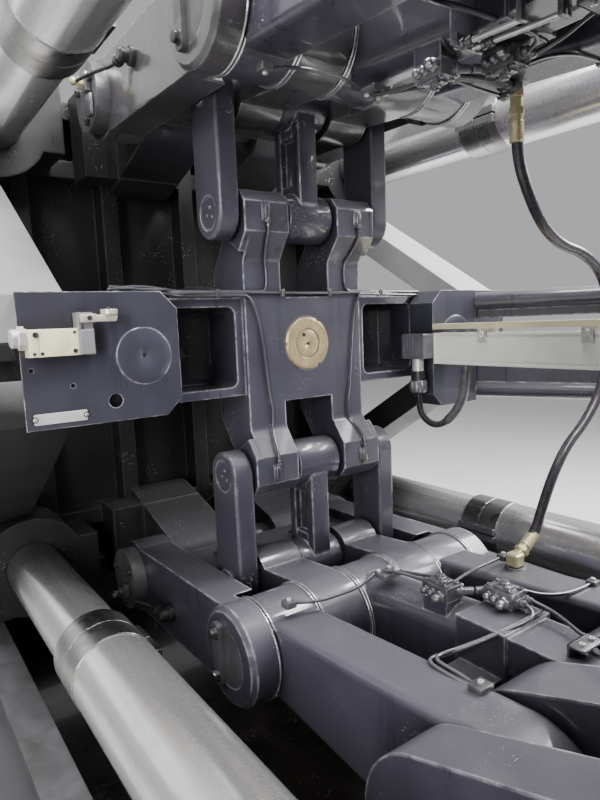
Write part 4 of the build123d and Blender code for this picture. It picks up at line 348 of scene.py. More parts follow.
TRAY_SHEET = oily_paint(
    "oiled_sheet", (0.014, 0.012, 0.011), (0.026, 0.023, 0.021), (0.020, 0.017, 0.015), (0.12, 0.10, 0.085),
    rough=(0.3, 0.12), rear_shade=False,
)
PIPE_PAINT = oily_paint(
    "pipe_paint", (0.060, 0.059, 0.072), (0.10, 0.10, 0.115), (0.16, 0.16, 0.17), (0.3, 0.3, 0.32),
    drops=False, edge_radius=0.001, rough=(0.24, 0.16), rear_shade=False,
)
TIE_STEEL = tie_bar_steel()
ROD_STEEL = worn_metal("rod_steel", (0.30, 0.29, 0.28), (0.52, 0.51, 0.50), (0.22, 0.38), grain=(300, 4, 4))
GUIDE_STEEL = worn_metal(
    "guide_steel", (0.24, 0.235, 0.275), (0.33, 0.325, 0.365), (0.34, 0.48), metallic=0.1, grain=(300, 4, 4)
)
DARK_STEEL = worn_metal("dark_steel", (0.085, 0.083, 0.085), (0.17, 0.17, 0.18), (0.28, 0.44), metallic=0.5)
OILY_STEEL = worn_metal("oily_steel", (0.060, 0.059, 0.066), (0.26, 0.26, 0.275), (0.16, 0.36), metallic=0.6)
RING_STEEL = worn_metal("ring_steel", (0.30, 0.30, 0.31), (0.62, 0.62, 0.63), (0.16, 0.30), metallic=0.75)
TUBE_STEEL = worn_metal(
    "tube_steel", (0.50, 0.50, 0.50), (0.76, 0.76, 0.75), (0.14, 0.26), metallic=0.6, grain=(6, 6, 6),
    grain_depth=0.0001,
)
LEVER_STEEL = worn_metal(
    "lever_steel", (0.46, 0.42, 0.32), (0.72, 0.67, 0.54), (0.26, 0.40), metallic=0.3, grain_depth=0.0001
)
BRIGHT_STEEL = worn_metal("bright_steel", (0.42, 0.42, 0.42), (0.74, 0.74, 0.73), (0.18, 0.36), metallic=0.7)
BLACK_SCREW = worn_metal("black_screw_steel", (0.030, 0.030, 0.032), (0.09, 0.09, 0.095), (0.2, 0.4), metallic=0.6)
HOLE_DARK = worn_metal("hole_dark", (0.010, 0.009, 0.008), (0.024, 0.021, 0.018), (0.4, 0.6), metallic=0.2)
BRONZE = turned_bronze()
BUSH_BRONZE = worn_metal("bush_bronze", (0.28, 0.20, 0.10), (0.55, 0.42, 0.22), (0.28, 0.45), grain=(300, 4, 4))
BRASS = worn_metal("brass", (0.46, 0.39, 0.21), (0.74, 0.66, 0.42), (0.28, 0.44), metallic=0.45)
RAIL_BRASS = worn_metal("rail_brass", (0.78, 0.71, 0.42), (0.96, 0.90, 0.62), (0.3, 0.45), metallic=0.25)
ALLOY = worn_metal("cast_alloy", (0.25, 0.24, 0.26), (0.37, 0.355, 0.38), (0.34, 0.5), metallic=0.25, grain=(4, 90, 90))
ALLOY_BRIGHT = worn_metal(
    "drawn_alloy", (0.90, 0.90, 0.82), (0.97, 0.97, 0.90), (0.36, 0.5), metallic=0.0, grain=(2, 160, 160)
)
PLATE_ALLOY = worn_metal("plate_alloy", (0.50, 0.49, 0.46), (0.80, 0.79, 0.75), (0.32, 0.48), metallic=0.3)
DISTRIBUTOR_ALLOY = worn_metal(
    "distributor_alloy", (0.055, 0.055, 0.060), (0.24, 0.24, 0.255), (0.18, 0.40), metallic=0.5
)
ZINC = worn_metal("zinc_steel", (0.52, 0.51, 0.48), (0.78, 0.77, 0.73), (0.28, 0.45), metallic=0.5)
CREAM = moulded("switch_cream", (0.80, 0.72, 0.46), (0.93, 0.87, 0.60), (0.3, 0.5), grain=500.0)
CONNECTOR = moulded("connector_plastic", (0.075, 0.073, 0.085), (0.13, 0.127, 0.15), (0.3, 0.45))
SLEEVE = moulded("conduit_sleeve", (0.045, 0.045, 0.05), (0.12, 0.12, 0.125), (0.16, 0.30))
BLACK_PLASTIC = moulded("black_plastic", (0.010, 0.010, 0.011), (0.024, 0.024, 0.026), (0.28, 0.45))
PIPE_BLACK = moulded("pipe_nylon", (0.012, 0.012, 0.013), (0.030, 0.030, 0.033), (0.18, 0.34))
RUBBER = moulded(
    "hose_rubber", (0.034, 0.028, 0.036), (0.062, 0.052, 0.064), (0.20, 0.34), grain=700.0, depth=0.0006
)

NODE_MATERIALS = {
    CASTING: (
        "tail_platen", "moving_platen", "stationary_platen", "crosshead", "rear_link_lower",
        "front_link_lower", "front_link_upper", "short_link_pins", "short_links_lower_sides", "short_link_lower_middle",
        "short_links_upper_sides", "short_link_upper_middle", "stay_frame",
    ),
    ARM_PAINT: ("rear_link_upper",),
    PLATE_PAINT: ("guide_plate_near", "guide_plate_far"),
    BED_PAINT: ("bed_beam_near", "bed_beam_far"),
    TRAY_SHEET: ("oil_tray", "bed_cross_members"),
    LIGHT_PAINT: ("brace_arms_near", "brace_arms_far"),
    CYLINDER_PAINT: ("clamp_cylinder", "cylinder_cap"),
    TIE_STEEL: ("tie_bar_lower_near", "tie_bar_lower_far", "tie_bar_upper_near", "tie_bar_upper_far"),
    GUIDE_STEEL: ("guide_rods",),
    ROD_STEEL: ("piston_rod", "tie_bar_collars"),
    DARK_STEEL: (
        "tie_bar_nuts_tail", "tie_bar_nuts_front", "knee_pins", "tail_pins",
        "moving_pins", "pin_keepers", "wear_rails", "levelling_feet",
    ),
    BRONZE: ("piston_nut",),
    BUSH_BRONZE: ("guide_bushes",),
    CREAM: ("limit_switch_body",),
    ALLOY: ("limit_switch_head",),
    ALLOY_BRIGHT: ("transducer",),
    DISTRIBUTOR_ALLOY: ("oil_distributors",),
    BRASS: ("hose_fittings",),
    RAIL_BRASS: ("transducer_rail",),
    ZINC: ("limit_switch_lever", "transducer_clamps"),
    CONNECTOR: ("transducer_connector",),
    RUBBER: ("oil_hose", "transducer_conduit"),
}
for material, names in NODE_MATERIALS.items():
    for name in names:
        node = nodes[name]
        node.data.materials.clear()
        node.data.materials.append(material)


# Cords
HOSE_ROUTE = (
    (-0.132, 0.245445, 0.846), (-0.132, 0.280086, 0.866), (-0.132, 0.304, 0.914), (-0.132, 0.336, 0.968),
    (-0.133, 0.385, 1.022), (-0.134, 0.450, 1.058), (-0.133, 0.514, 1.120), (-0.131, 0.541, 1.210),
    (-0.130, 0.538, 1.305), (-0.131, 0.498, 1.375), (-0.133, 0.436, 1.408), (-0.134, 0.358, 1.420),
    (-0.133, 0.294, 1.453), (-0.132, 0.250, 1.506), (-0.132, 0.216, 1.568), (-0.132, 0.216, 1.624),
)
CONDUIT_ROUTE = (
    (-0.438, 0.283, 1.123), (-0.438, 0.283, 1.095), (-0.429, 0.287, 1.062), (-0.398, 0.297, 1.044),
    (-0.362, 0.308, 1.066), (-0.338, 0.314, 1.105), (-0.330, 0.317, 1.145), (-0.329, 0.317, 1.188),
)


def spline_curve(name, routes, radius=0.0, fineness=12, roundness=5):
    """Smooth curves that have the routes' points, in metres, as their control points."""
    data = bpy.data.curves.new(name, "CURVE")
    data.dimensions = "3D"
    data.resolution_u = fineness
    data.bevel_depth = radius
    data.bevel_resolution = roundness
    data.use_fill_caps = True
    for route in routes:
        spline = data.splines.new("NURBS")
        spline.points.add(len(route) - 1)
        for point, place in zip(spline.points, route):
            point.co = (*place, 1.0)
        spline.order_u = 3
        spline.use_endpoint_u = True
    return placed(name, data)


hose = spline_curve("oil_hose_cord", [HOSE_ROUTE], 0.010)
hose.data.materials.append(RUBBER)
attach(hose, CARRIAGE)
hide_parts("oil_hose")

# Mesh helpers
ROUND = 24


def hexagon(turn):
    """The radius of a hexagon's outline in a direction, for an inscribed circle of radius one."""
    return 1 / math.cos((turn + math.pi / 6) % (math.pi / 3) - math.pi / 6)


def pose(centre, axis):
    """A matrix whose Z runs along axis."""
    axis = Vector(axis).normalized()
    side = UP.cross(axis)
    if side.length < 1e-4:
        side = Vector((1, 0, 0))
    side.normalize()
    other = axis.cross(side)
    return Matrix.Translation(centre) @ Matrix((side, other, axis)).transposed().to_4x4()


def turns(count):
    """Equal steps of angle round a full circle."""
    return [2 * math.pi * step / count for step in range(count)]


def join_rings(mesh, rings, capped=True):
    """Faces between neighbouring rings of vertices, and over both ends."""
    count = len(rings[0])
    for a, b in zip(rings, rings[1:]):
        for step in range(count):
            after = (step + 1) % count
            mesh.faces.new((a[step], a[after], b[after], b[step]))
    if capped:
        mesh.faces.new(list(reversed(rings[0])))
        mesh.faces.new(rings[-1])


def lathe(mesh, matrix, profile, count=ROUND, capped=True):
    """Rings along Z: (radius, height, "o" round or "x" hexagon), in millimetres."""
    rings = []
    for radius, lift, kind in profile:
        ring = []
        for turn in turns(count):
            reach = radius * (hexagon(turn) if kind == "x" else 1.0)
            ring.append(mesh.verts.new(matrix @ Vector((reach * math.cos(turn), reach * math.sin(turn), lift))))
        rings.append(ring)
    join_rings(mesh, rings, capped)


def scaled(centre, axis):
    """The same matrix as pose gives, for shapes in millimetres."""
    return pose(centre, axis) @ Matrix.Scale(0.001, 4)


def cap_screw(mesh, centre, axis, radius, tall):
    """A socket head screw that stands on centre."""
    lathe(mesh, scaled(centre, axis), (
        (radius, -0.5, "o"), (radius, tall - 0.12 * radius, "o"), (0.9 * radius, tall, "o"),
        (0.55 * radius, tall, "o"), (0.48 * radius, tall - 0.02, "x"), (0.46 * radius, 0.45 * tall, "x"),
    ))


def hex_bolt(mesh, centre, axis, across, tall):
    """A hexagon head on a washer that stands on centre."""
    half = across / 2
    base = 0.22 * half
    matrix = scaled(centre, axis)
    lathe(mesh, matrix, ((1.35 * half, -0.5, "o"), (1.35 * half, 0.16 * half, "o"), (1.28 * half, base, "o")))
    lathe(mesh, matrix, (
        (0.98 * half, base - 0.3, "x"), (half, base + 0.1 * half, "x"), (half, base + tall - 0.2 * half, "x"),
        (0.97 * half, base + tall, "o"), (0.86 * half, base + tall + 0.02, "o"),
    ))


def piece_from(mesh, name, material, body=CARRIAGE, smooth=True):
    """A finished piece from a mesh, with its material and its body."""
    data = bpy.data.meshes.new(name)
    bmesh.ops.recalc_face_normals(mesh, faces=mesh.faces)
    mesh.to_mesh(data)
    mesh.free()
    piece = placed(name, data)
    data.materials.append(material)
    if smooth:
        for polygon in data.polygons:
            polygon.use_smooth = True
        data.set_sharp_from_angle(angle=math.radians(38))
    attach(piece, body)
    return piece


def pipes(name, routes, radius, material):
    """Bent pipes, each along the points of its route in millimetres from the bronze nut."""
    piece = spline_curve(name, [[at(*place) for place in route] for route in routes], radius, 8, 3)
    piece.data.materials.append(material)
    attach(piece, CARRIAGE)


# The transducer's conduit: a corrugated tube along the route's smooth line, with a sleeve on its return leg
CONDUIT_RADIUS = 0.008
RIB_PITCH = 0.0036
RIB_DEPTH = 0.84
SLEEVE_RADIUS = 0.0106
SLEEVE_RIM = 0.0094
SLEEVE_FROM, SLEEVE_SHARE = 0.46, 0.53
SLEEVE_STEPS = 60
line = spline_curve("conduit_line", [CONDUIT_ROUTE])
conduit_path = [v.co.copy() for v in bpy.data.meshes.new_from_object(line).vertices]
bpy.data.objects.remove(line, do_unlink=True)
conduit_length = sum((b - a).length for a, b in zip(conduit_path, conduit_path[1:]))


def along(path, distance):
    """The point and the direction at a distance along a path."""
    for a, b in zip(path, path[1:]):
        run = (b - a).length
        if distance <= run:
            return a.lerp(b, distance / run), (b - a).normalized()
        distance -= run
    return path[-1], (path[-1] - path[-2]).normalized()


def conduit_ring(mesh, share, reach, count):
    """A ring of vertices round the conduit's line, at a share of its length."""
    matrix = pose(*along(conduit_path, conduit_length * share))
    return [
        mesh.verts.new(matrix @ Vector((reach * math.cos(turn), reach * math.sin(turn), 0))) for turn in turns(count)
    ]


mesh = bmesh.new()
steps = int(conduit_length / (RIB_PITCH / 4))
join_rings(mesh, [
    conduit_ring(mesh, step / steps, CONDUIT_RADIUS * (1.0 if step % 4 in (0, 1) else RIB_DEPTH), 20)
    for step in range(steps + 1)
])
conduit = piece_from(mesh, "transducer_conduit_cord", BLACK_PLASTIC)
mesh = bmesh.new()
join_rings(mesh, [
    conduit_ring(
        mesh, SLEEVE_FROM + SLEEVE_SHARE * step / SLEEVE_STEPS,
        SLEEVE_RADIUS if 1 < step < SLEEVE_STEPS - 1 else SLEEVE_RIM, 24,
    )
    for step in range(SLEEVE_STEPS + 1)
])
sleeve = piece_from(mesh, "transducer_conduit_sleeve", SLEEVE)
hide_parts("transducer_conduit")

# Detail pieces, in millimetres from the bronze nut
NEAR, FAR, FRONT, REAR = (0, -1, 0), (0, 1, 0), (1, 0, 0), (-1, 0, 0)
UPWARD, DOWNWARD = (0, 0, 1), (0, 0, -1)
KNEE_X, KNEE_Z = 155, 515
HEAD_PIN_X, HEAD_PIN_Z, SHORT_PIN_Z = -15, 250, 470
SHORT_LINK_FACE = 202
ROD_Y = 380
PLATE_FRONT = 71
TAIL_REAR = -720
TAIL_WINDOWS = ((-190, -105), (20, 125), (230, 370))
TAIL_PIN_FACE = 330
DISTRIBUTORS = ((352, -40), (430, 18))
DISTRIBUTOR_CROWN = 387
UNION_Z = 398
CLAMP_STATIONS = (210, 438)
TRANSDUCER_FACE = 300
GLAND_X, GLAND_Y = 42, 283
EAR_PIPE_RADIUS = 0.0028
LUBE_PIPE_RADIUS = 0.0031
TAIL_TUBE_RADIUS = 0.0036
UPPER_TUBE_RADIUS = 0.0040
FEED_TUBE_RADIUS = 0.0072


def block(mesh, low, high, edge=1.0):
    """A box between two corners, with rounded edges."""
    low, high = (at(*corner) for corner in zip(*(sorted(pair) for pair in zip(low, high))))
    middle, size = (low + high) / 2, high - low
    made = bmesh.ops.create_cube(mesh, size=1.0)["verts"]
    for vert in made:
        vert.co = Vector((vert.co.x * size.x, vert.co.y * size.y, vert.co.z * size.z)) + middle
    edges = list({e for v in made for e in v.link_edges})
    bmesh.ops.bevel(mesh, geom=edges, offset=edge / 1000, segments=2, affect="EDGES", profile=0.5)


def turned(mesh, place, axis, profile, count=ROUND):
    """A round shape from pairs of radius and height."""
    lathe(mesh, scaled(at(*place), axis), [(r, h, "o") for r, h in profile], count)


def ring_band(mesh, place, axis, inner, outer, width, count=48):
    """A flat ring with rounded rims, open in the middle, that stands on place."""
    half = min(1.2, 0.3 * width)
    lathe(mesh, scaled(at(*place), axis), [
        (r, h, "o") for r, h in (
            (inner, 0), (outer - half, 0), (outer, half), (outer, width - half), (outer - half, width), (inner, width)
        )
    ], count, capped=False)


def ring_fitting(mesh, place, axis, radius, length):
    """A pipe union: a hexagon nut, a collar and a tapered neck."""
    lathe(mesh, scaled(at(*place), axis), (
        (0.9 * radius, -1.0, "x"), (radius, 0.06 * length, "x"), (radius, 0.40 * length, "x"),
        (0.86 * radius, 0.44 * length, "o"), (0.60 * radius, 0.47 * length, "o"), (0.60 * radius, 0.58 * length, "o"),
        (0.84 * radius, 0.62 * length, "o"), (0.84 * radius, 0.84 * length, "o"), (0.5 * radius, 0.95 * length, "o"),
        (0.34 * radius, length, "o"),
    ))


# The near guide plate ends just past the switch, with a drafted end
PLATE_END_FROM, PLATE_MIDDLE_X = -0.59, -0.44
PLATE_CUT_FRONT, PLATE_CUT_REAR = 0.052, 0.065
plate_data = nodes["guide_plate_near"].data.copy()
for vert in plate_data.vertices:
    if vert.co.y < PLATE_END_FROM:
        vert.co.y += PLATE_CUT_FRONT if vert.co.x > PLATE_MIDDLE_X else PLATE_CUT_REAR
plate = placed("guide_plate_near_trimmed", plate_data)
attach(plate, CARRIAGE)
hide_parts("guide_plate_near")

# Middle short links: an I section between two wide eyes
LINK_EYE = ((44, 0), (47, 1.2), (48, 4), (48, 100), (47, 102.8), (44, 104))
for level, place in ((1, "upper"), (-1, "lower")):
    mesh = bmesh.new()
    for z in (HEAD_PIN_Z, SHORT_PIN_Z):
        turned(mesh, (HEAD_PIN_X, -52, level * z), FAR, LINK_EYE, 64)
    for x0, x1 in ((-57, -36), (6, 27)):
        block(mesh, (x0, -22, level * (HEAD_PIN_Z + 6)), (x1, 22, level * (SHORT_PIN_Z - 6)), 3.0)
    block(mesh, (-50, -7, level * 270), (20, 7, level * 450), 1.0)
    for z0, z1 in ((280, 316), (404, 440)):
        block(mesh, (-46, -21, level * z0), (16, 21, level * z1), 7.0)
    link = piece_from(mesh, "short_link_" + place + "_middle_forging", CASTING)
    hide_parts("short_link_" + place + "_middle")

# Ends of the guide rods, painted over with the plates
mesh = bmesh.new()
for y in (-ROD_Y, ROD_Y):
    turned(mesh, (PLATE_FRONT, y, 0), FRONT, ((45.7, -0.4), (45.7, 0.3), (44.0, 1.4), (4.6, 1.4), (3.4, 0.5)), 64)
piece_from(mesh, "guide_rod_end_paint", PLATE_PAINT)
mesh = bmesh.new()
for y in (-ROD_Y, ROD_Y):
    turned(mesh, (PLATE_FRONT + 0.3, y, 0), FRONT, ((3.5, -0.2), (3.5, 0.45), (0.6, 0.3)))
piece_from(mesh, "guide_rod_centre_drill", HOLE_DARK)

# The position switch
mesh = bmesh.new()
block(mesh, (100.5, -559.5, 8.6), (104.2, -547.5, 47.4), 0.9)
block(mesh, (100.5, -546.6, 8.6), (102.6, -491.5, 47.4), 0.9)
block(mesh, (102.4, -528, 14), (103.4, -508, 42), 0.4)
turned(mesh, (102, -551, 40), FRONT, ((6.2, 0), (6.2, 3.0), (5.6, 3.6)))
turned(mesh, (101, -497, 15), FRONT, ((5.0, 0), (5.0, 2.2), (4.5, 2.7)))
piece_from(mesh, "switch_cover", CREAM)
mesh = bmesh.new()
for place, radius, tall in (
    ((105.4, -551, 40), 4.2, 2.0), ((102.5, -543, 13), 2.6, 1.2), ((104.2, -554, 13), 2.4, 1.0),
    ((102.5, -496, 42), 2.4, 1.0), ((103.4, -497, 15), 3.4, 1.6),
):
    cap_screw(mesh, at(*place), FRONT, radius, tall)
piece_from(mesh, "switch_cover_screws", BLACK_SCREW)

# The switch's lever: one flat arm with the roller on top of its end
mesh = bmesh.new()
cap_screw(mesh, at(107.6, -474, 62), FRONT, 3.6, 1.8)
turned(mesh, (100.5, -442, 74.5), UPWARD, ((4.6, 0), (4.6, 2.4), (3.8, 3.2)))
piece_from(mesh, "switch_lever_screws", BLACK_SCREW, LEVER)
mesh = bmesh.new()
turned(mesh, (94, -474, 62), FRONT, ((5.2, 0), (5.2, 8)))
block(mesh, (101.4, -487, 55.5), (107.6, -462, 68.5), 2.4)
block(mesh, (101.8, -470, 56.0), (107.2, -432, 66.5), 2.4)
block(mesh, (94.0, -452, 60.5), (106.8, -431, 66.0), 1.8)
turned(mesh, (100.5, -442, 66.2), UPWARD, ((11.8, 0), (12.8, 0.9), (12.8, 7.4), (11.8, 8.3)), 40)
lever = piece_from(mesh, "switch_lever_arm", LEVER_STEEL, LEVER)
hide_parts("limit_switch_lever")

# The switch's gland nut
mesh = bmesh.new()
lathe(mesh, scaled(at(86, -560, 36), NEAR), (
    (13.6, -1.0, "o"), (13.6, 2.0, "o"), (15.0, 2.4, "x"), (15.0, 11.0, "x"), (13.8, 12.0, "o"), (13.8, 20.0, "o"),
    (11.0, 21.5, "o"), (8.0, 21.5, "o"),
))
piece_from(mesh, "switch_gland_nut", ZINC)

# Bare rating plate with two rivets, a notch round each
RATING_ENDS = (-556.5, -478.5)
RATING_MIDDLE, RATING_HALF = -85.4, 8.2
RIVETS = (-555.0, -480.0)
mesh = bmesh.new()
outline = []
for y0, y1, sign in ((*RATING_ENDS, 1), (*reversed(RATING_ENDS), -1)):
    edge = RATING_MIDDLE + sign * RATING_HALF
    outline += [(y0 + sign * 1.5, edge), (y1 - sign * 1.5, edge), (y1, edge - sign * 1.5), (y1, edge - sign * 4.6)]
    for step in range(5):
        turn = math.pi * (0.5 - step / 4)
        outline.append((y1 - sign * 3.6 * math.cos(turn), RATING_MIDDLE + sign * 3.6 * math.sin(turn)))
    outline += [(y1, RATING_MIDDLE - sign * 3.8), (y1, RATING_MIDDLE - sign * 6.8)]
front, back = ([mesh.verts.new(at(x, y, z)) for y, z in outline] for x in (PLATE_FRONT + 1.2, PLATE_FRONT - 0.2))
mesh.faces.new(front)
for i in range(len(front)):
    j = (i + 1) % len(front)
    mesh.faces.new((front[i], back[i], back[j], front[j]))
piece_from(mesh, "bare_rating_plate", PLATE_ALLOY, smooth=False)
mesh = bmesh.new()
rims = bmesh.new()
for y in RIVETS:
    turned(mesh, (PLATE_FRONT, y, RATING_MIDDLE), FRONT, ((3.4, -0.3), (3.2, 1.2), (2.0, 2.2), (0.8, 2.4)))
    ring_band(rims, (PLATE_FRONT + 0.4, y, RATING_MIDDLE), FRONT, 3.3, 4.7, 1.1, 32)
piece_from(mesh, "rating_plate_rivets", BRIGHT_STEEL)
piece_from(rims, "rating_plate_rivet_rims", HOLE_DARK)

# The bronze nut: the rod's end, its centre and locking marks
mesh = bmesh.new()
turned(mesh, (2, 0, 0), FRONT, ((29.2, -0.4), (29.2, 0.4), (27.8, 1.0), (6.4, 1.0), (5.2, 0.4), (3.0, 0.3)), 64)
ring_band(mesh, (3.4, 0, 0), FRONT, 47.0, 50.4, 1.3, 64)
piece_from(mesh, "nut_rod_end", BRONZE)
mesh = bmesh.new()
turned(mesh, (2.4, 1.0, -1.0), FRONT, ((3.2, 0), (3.2, 0.75), (0.5, 0.7)))
turned(mesh, (3.7, -9.5, 17.5), FRONT, ((3.4, -2.0), (3.4, 0.6), (2.9, 0.5)))
ring_band(mesh, (2.2, 0, 0), FRONT, 28.6, 30.4, 1.2, 64)
piece_from(mesh, "nut_marks", HOLE_DARK)

# Grease fittings on the crosshead's ears and the pipes that serve them
mesh = bmesh.new()
for level in (1, -1):
    for y in (-112, 112):
        block(mesh, (37, y - 6, level * 262), (47, y + 6, level * 236), 1.8)
        block(mesh, (36.5, y - 9, level * 268), (39.5, y + 9, level * 232), 1.0)
        ring_fitting(mesh, (43, y + 2, level * 237), (0, 0, -level), 4.6, 15)
piece_from(mesh, "ear_fittings", OILY_STEEL)
ear_routes = []
for level in (1, -1):
    top = 106 if level > 0 else 99
    lie = 4 if level > 0 else 6
    climb = ((lie, 150), (lie + 1, 165), (lie + 9, 176), (lie + 22, 193), (lie + 33, 208), (43, 218), (43, 226))
    near = (-96, -98, -102, -107, -109, -110, -110)
    far = (102, 104, 108, 113, 114, 114, 114)
    ear_routes.append((
        (60, -428, top), (54, -400, top + 3), (46, -360, top), (34, -325, top + 3), (lie, -290, top),
        (lie, -240, top - 1), (lie, -180, top), (lie, -120, top), (lie, -100, level * 108 - 2), (lie, -95, level * 122),
        *((x, y, level * z) for (x, z), y in zip(climb, near)),
    ))
    ear_routes.append((
        (-30, 372, top - 2), (-8, 350, top - 2), (lie, 300, top - 3), (lie, 240, top - 2), (lie, 170, top),
        (lie, 128, top), (lie, 108, level * 108 - 2), (lie, 102, level * 122),
        *((x, y, level * z) for (x, z), y in zip(climb, far)),
    ))
ear_routes.append((
    (58, -424, 111), (54, -405, 109), (48, -380, 112), (38, -335, 110), (10, -296, 103), (5, -240, 103),
    (5, -120, 104), (5, 0, 102), (5, 120, 103), (5, 250, 101), (-6, 345, 101), (-30, 370, 101),
))
pipes("ear_pipes", ear_routes, EAR_PIPE_RADIUS, PIPE_PAINT)
mesh = bmesh.new()
for y in (-205, -60, 60, 205):
    block(mesh, (-4, y - 3.5, 95), (9.4, y + 3.5, 98), 0.9)
    block(mesh, (7.4, y - 3.5, 95), (9.6, y + 3.5, 110), 0.9)
for x, y in ((57, -416), (50, -382), (42, -345)):
    block(mesh, (x - 9, y - 4, 102.5), (x + 9, y + 4, 104.5), 0.8)
    block(mesh, (x - 8, y - 3, 103), (x - 5, y + 3, 113), 1.2)
piece_from(mesh, "ear_pipe_clips", OILY_STEEL)

# Staking marks on the ends of the head pins, and near-black screwed sheets behind the tail platen's windows, which
# paint the shade seen through them
mesh = bmesh.new()
for level in (1, -1):
    for side in (-1, 1):
        for turn in (80, 195, 320):
            angle = math.radians(turn)
            place = (
                HEAD_PIN_X + 11 * math.cos(angle), side * SHORT_LINK_FACE, level * HEAD_PIN_Z + 11 * math.sin(angle)
            )
            turned(mesh, place, (0, side, 0), ((5.0, -0.5), (4.2, 0.8), (1.6, 1.4), (0.6, 0.5)), 10)
piece_from(mesh, "pin_staking_marks", OILY_STEEL)
mesh = bmesh.new()
screws = bmesh.new()
for level in (1, -1):
    for y0, y1 in TAIL_WINDOWS:
        # Painted shade: near-black sheets that close the windows.
        block(mesh, (TAIL_REAR - 4, y0 - 14, level * 438), (TAIL_REAR, y1 + 14, level * 572), 1.2)
        for y in (y0 - 8, y1 + 8):
            for z in (444, 566):
                cap_screw(screws, at(TAIL_REAR - 4, y, level * z), REAR, 4.0, 3.6)
piece_from(mesh, "tail_window_shade_sheets", TRAY_SHEET)
piece_from(screws, "tail_window_screws", ZINC)

# Pin keepers' bolts and grease fittings on both levels
mesh = bmesh.new()
for level in (1, -1):
    for y, axis in ((-314, NEAR), (314, FAR)):
        for rise in (-38, 38):
            hex_bolt(mesh, at(131, y, level * KNEE_Z + rise), axis, 17, 8)
    for y, axis in ((-318, NEAR), (318, FAR)):
        for turn in (35, 155, 275):
            angle = math.radians(turn)
            cap_screw(mesh, at(-310 + 50 * math.cos(angle), y, level * 525 + 50 * math.sin(angle)), axis, 8, 8)
piece_from(mesh, "keeper_bolts", BLACK_SCREW)

mesh = bmesh.new()
for y, side in ((-318, -1), (318, 1)):
    block(mesh, (-300, y, 528), (-276, y + side * 12, 566), 2.0)
    block(mesh, (-292, y + side * 2, 478), (-262, y + side * 9, 520), 2.0)
    block(mesh, (-300, y, -566), (-276, y + side * 12, -528), 2.0)
piece_from(mesh, "tail_pin_keepers", OILY_STEEL)
for place, height, material, slot in (("upper", 545, BRASS, "brass"), ("lower", -545, OILY_STEEL, "dark_steel")):
    mesh = bmesh.new()
    for y, axis in ((-TAIL_PIN_FACE, NEAR), (TAIL_PIN_FACE, FAR)):
        ring_fitting(mesh, (-288, y, height), axis, 9.5, 26)
    piece_from(mesh, "tail_pin_grease_fittings_" + place, material)
mesh = bmesh.new()
elbow_routes = []
for level in (1, -1):
    for side in (-1, 1):
        turned(mesh, (-110, side * 290, level * 540), (0, side, 0), ((17, -1), (17, 9), (14, 11)))
        turned(mesh, (-110, side * 300, level * 540), (0, side, 0), ((13, 0), (13, 16), (9, 20)))
        turned(mesh, (-118, side * 308, level * 540), REAR, ((9, 0), (9, 16), (11, 17), (11, 25), (7, 27)))
        elbow_routes.append((
            (-144, side * 308, level * 540), (-175, side * 309, level * 542), (-215, side * 324, level * 544),
            (-262, side * 340, level * 544), (-288, side * 345, level * 545), (-289, side * 354, level * 545),
        ))
piece_from(mesh, "tail_elbows", BLACK_PLASTIC)
pipes("tail_grease_tubes", elbow_routes, TAIL_TUBE_RADIUS, PIPE_BLACK)

# Bright thrust rings between the castings on the knee pins
mesh = bmesh.new()
for level in (1, -1):
    for y in (-251, -151, -50, 50, 151, 251):
        for shift in (-5.2, 1.2):
            ring_band(mesh, (KNEE_X, y + shift, level * KNEE_Z), FAR, 80, 87.6, 4.0, 64)
piece_from(mesh, "knee_thrust_rings", RING_STEEL)

# Oil distributors: screws, unions and the bars that join them
dress = bmesh.new()
unions = bmesh.new()
for level in (1, -1):
    crown = DISTRIBUTOR_CROWN * level
    union_z = UNION_Z * level
    out = (0, 0, -level)
    for x0, y0 in DISTRIBUTORS:
        for x, y in ((x0 + 6, y0 + 6), (x0 + 46, y0 + 6), (x0 + 6, y0 + 30), (x0 + 46, y0 + 30)):
            cap_screw(dress, at(x, y, crown), out, 4.2, 4.0)
        block(dress, (x0 + 13, y0 + 4, crown + 2 * level), (x0 + 39, y0 + 32, crown - 5 * level), 2.2)
        turned(dress, (x0 + 26, y0 + 18, crown - 4 * level), out, ((8, 0), (8, 5), (5.5, 6.5), (5.5, 9), (2, 10)))
        turned(dress, (x0 + 37, y0 + 8, crown - 3 * level), out, ((5, 0), (5, 6), (3.4, 7), (3.4, 9), (1, 10)))
        for x in (x0 + 12, x0 + 26, x0 + 40):
            ring_fitting(unions, (x, y0 + 36, union_z), FAR, 6.2, 17)
        for x in (x0 + 12, x0 + 26):
            ring_fitting(unions, (x, y0, union_z), NEAR, 6.2, 15)
        ring_fitting(unions, (x0 + 42, y0, 400 * level), NEAR, 8.8, 22)
    ring_fitting(unions, (352, -20, union_z), REAR, 6.2, 17)
    for y in (28, 44):
        ring_fitting(unions, (482, y, union_z), FRONT, 7.6, 20)
    for x, y, toward in ((402, -12, (0.54, 0.84, 0)), (432, 34, (-0.54, -0.84, 0))):
        turned(unions, (x, y, union_z), toward, ((6, -2), (6, 3), (9, 3.4), (9, 8), (6.2, 8.4), (6.2, 25), (5, 26)))
piece_from(dress, "distributor_covers", OILY_STEEL)
piece_from(unions, "distributor_unions", OILY_STEEL)

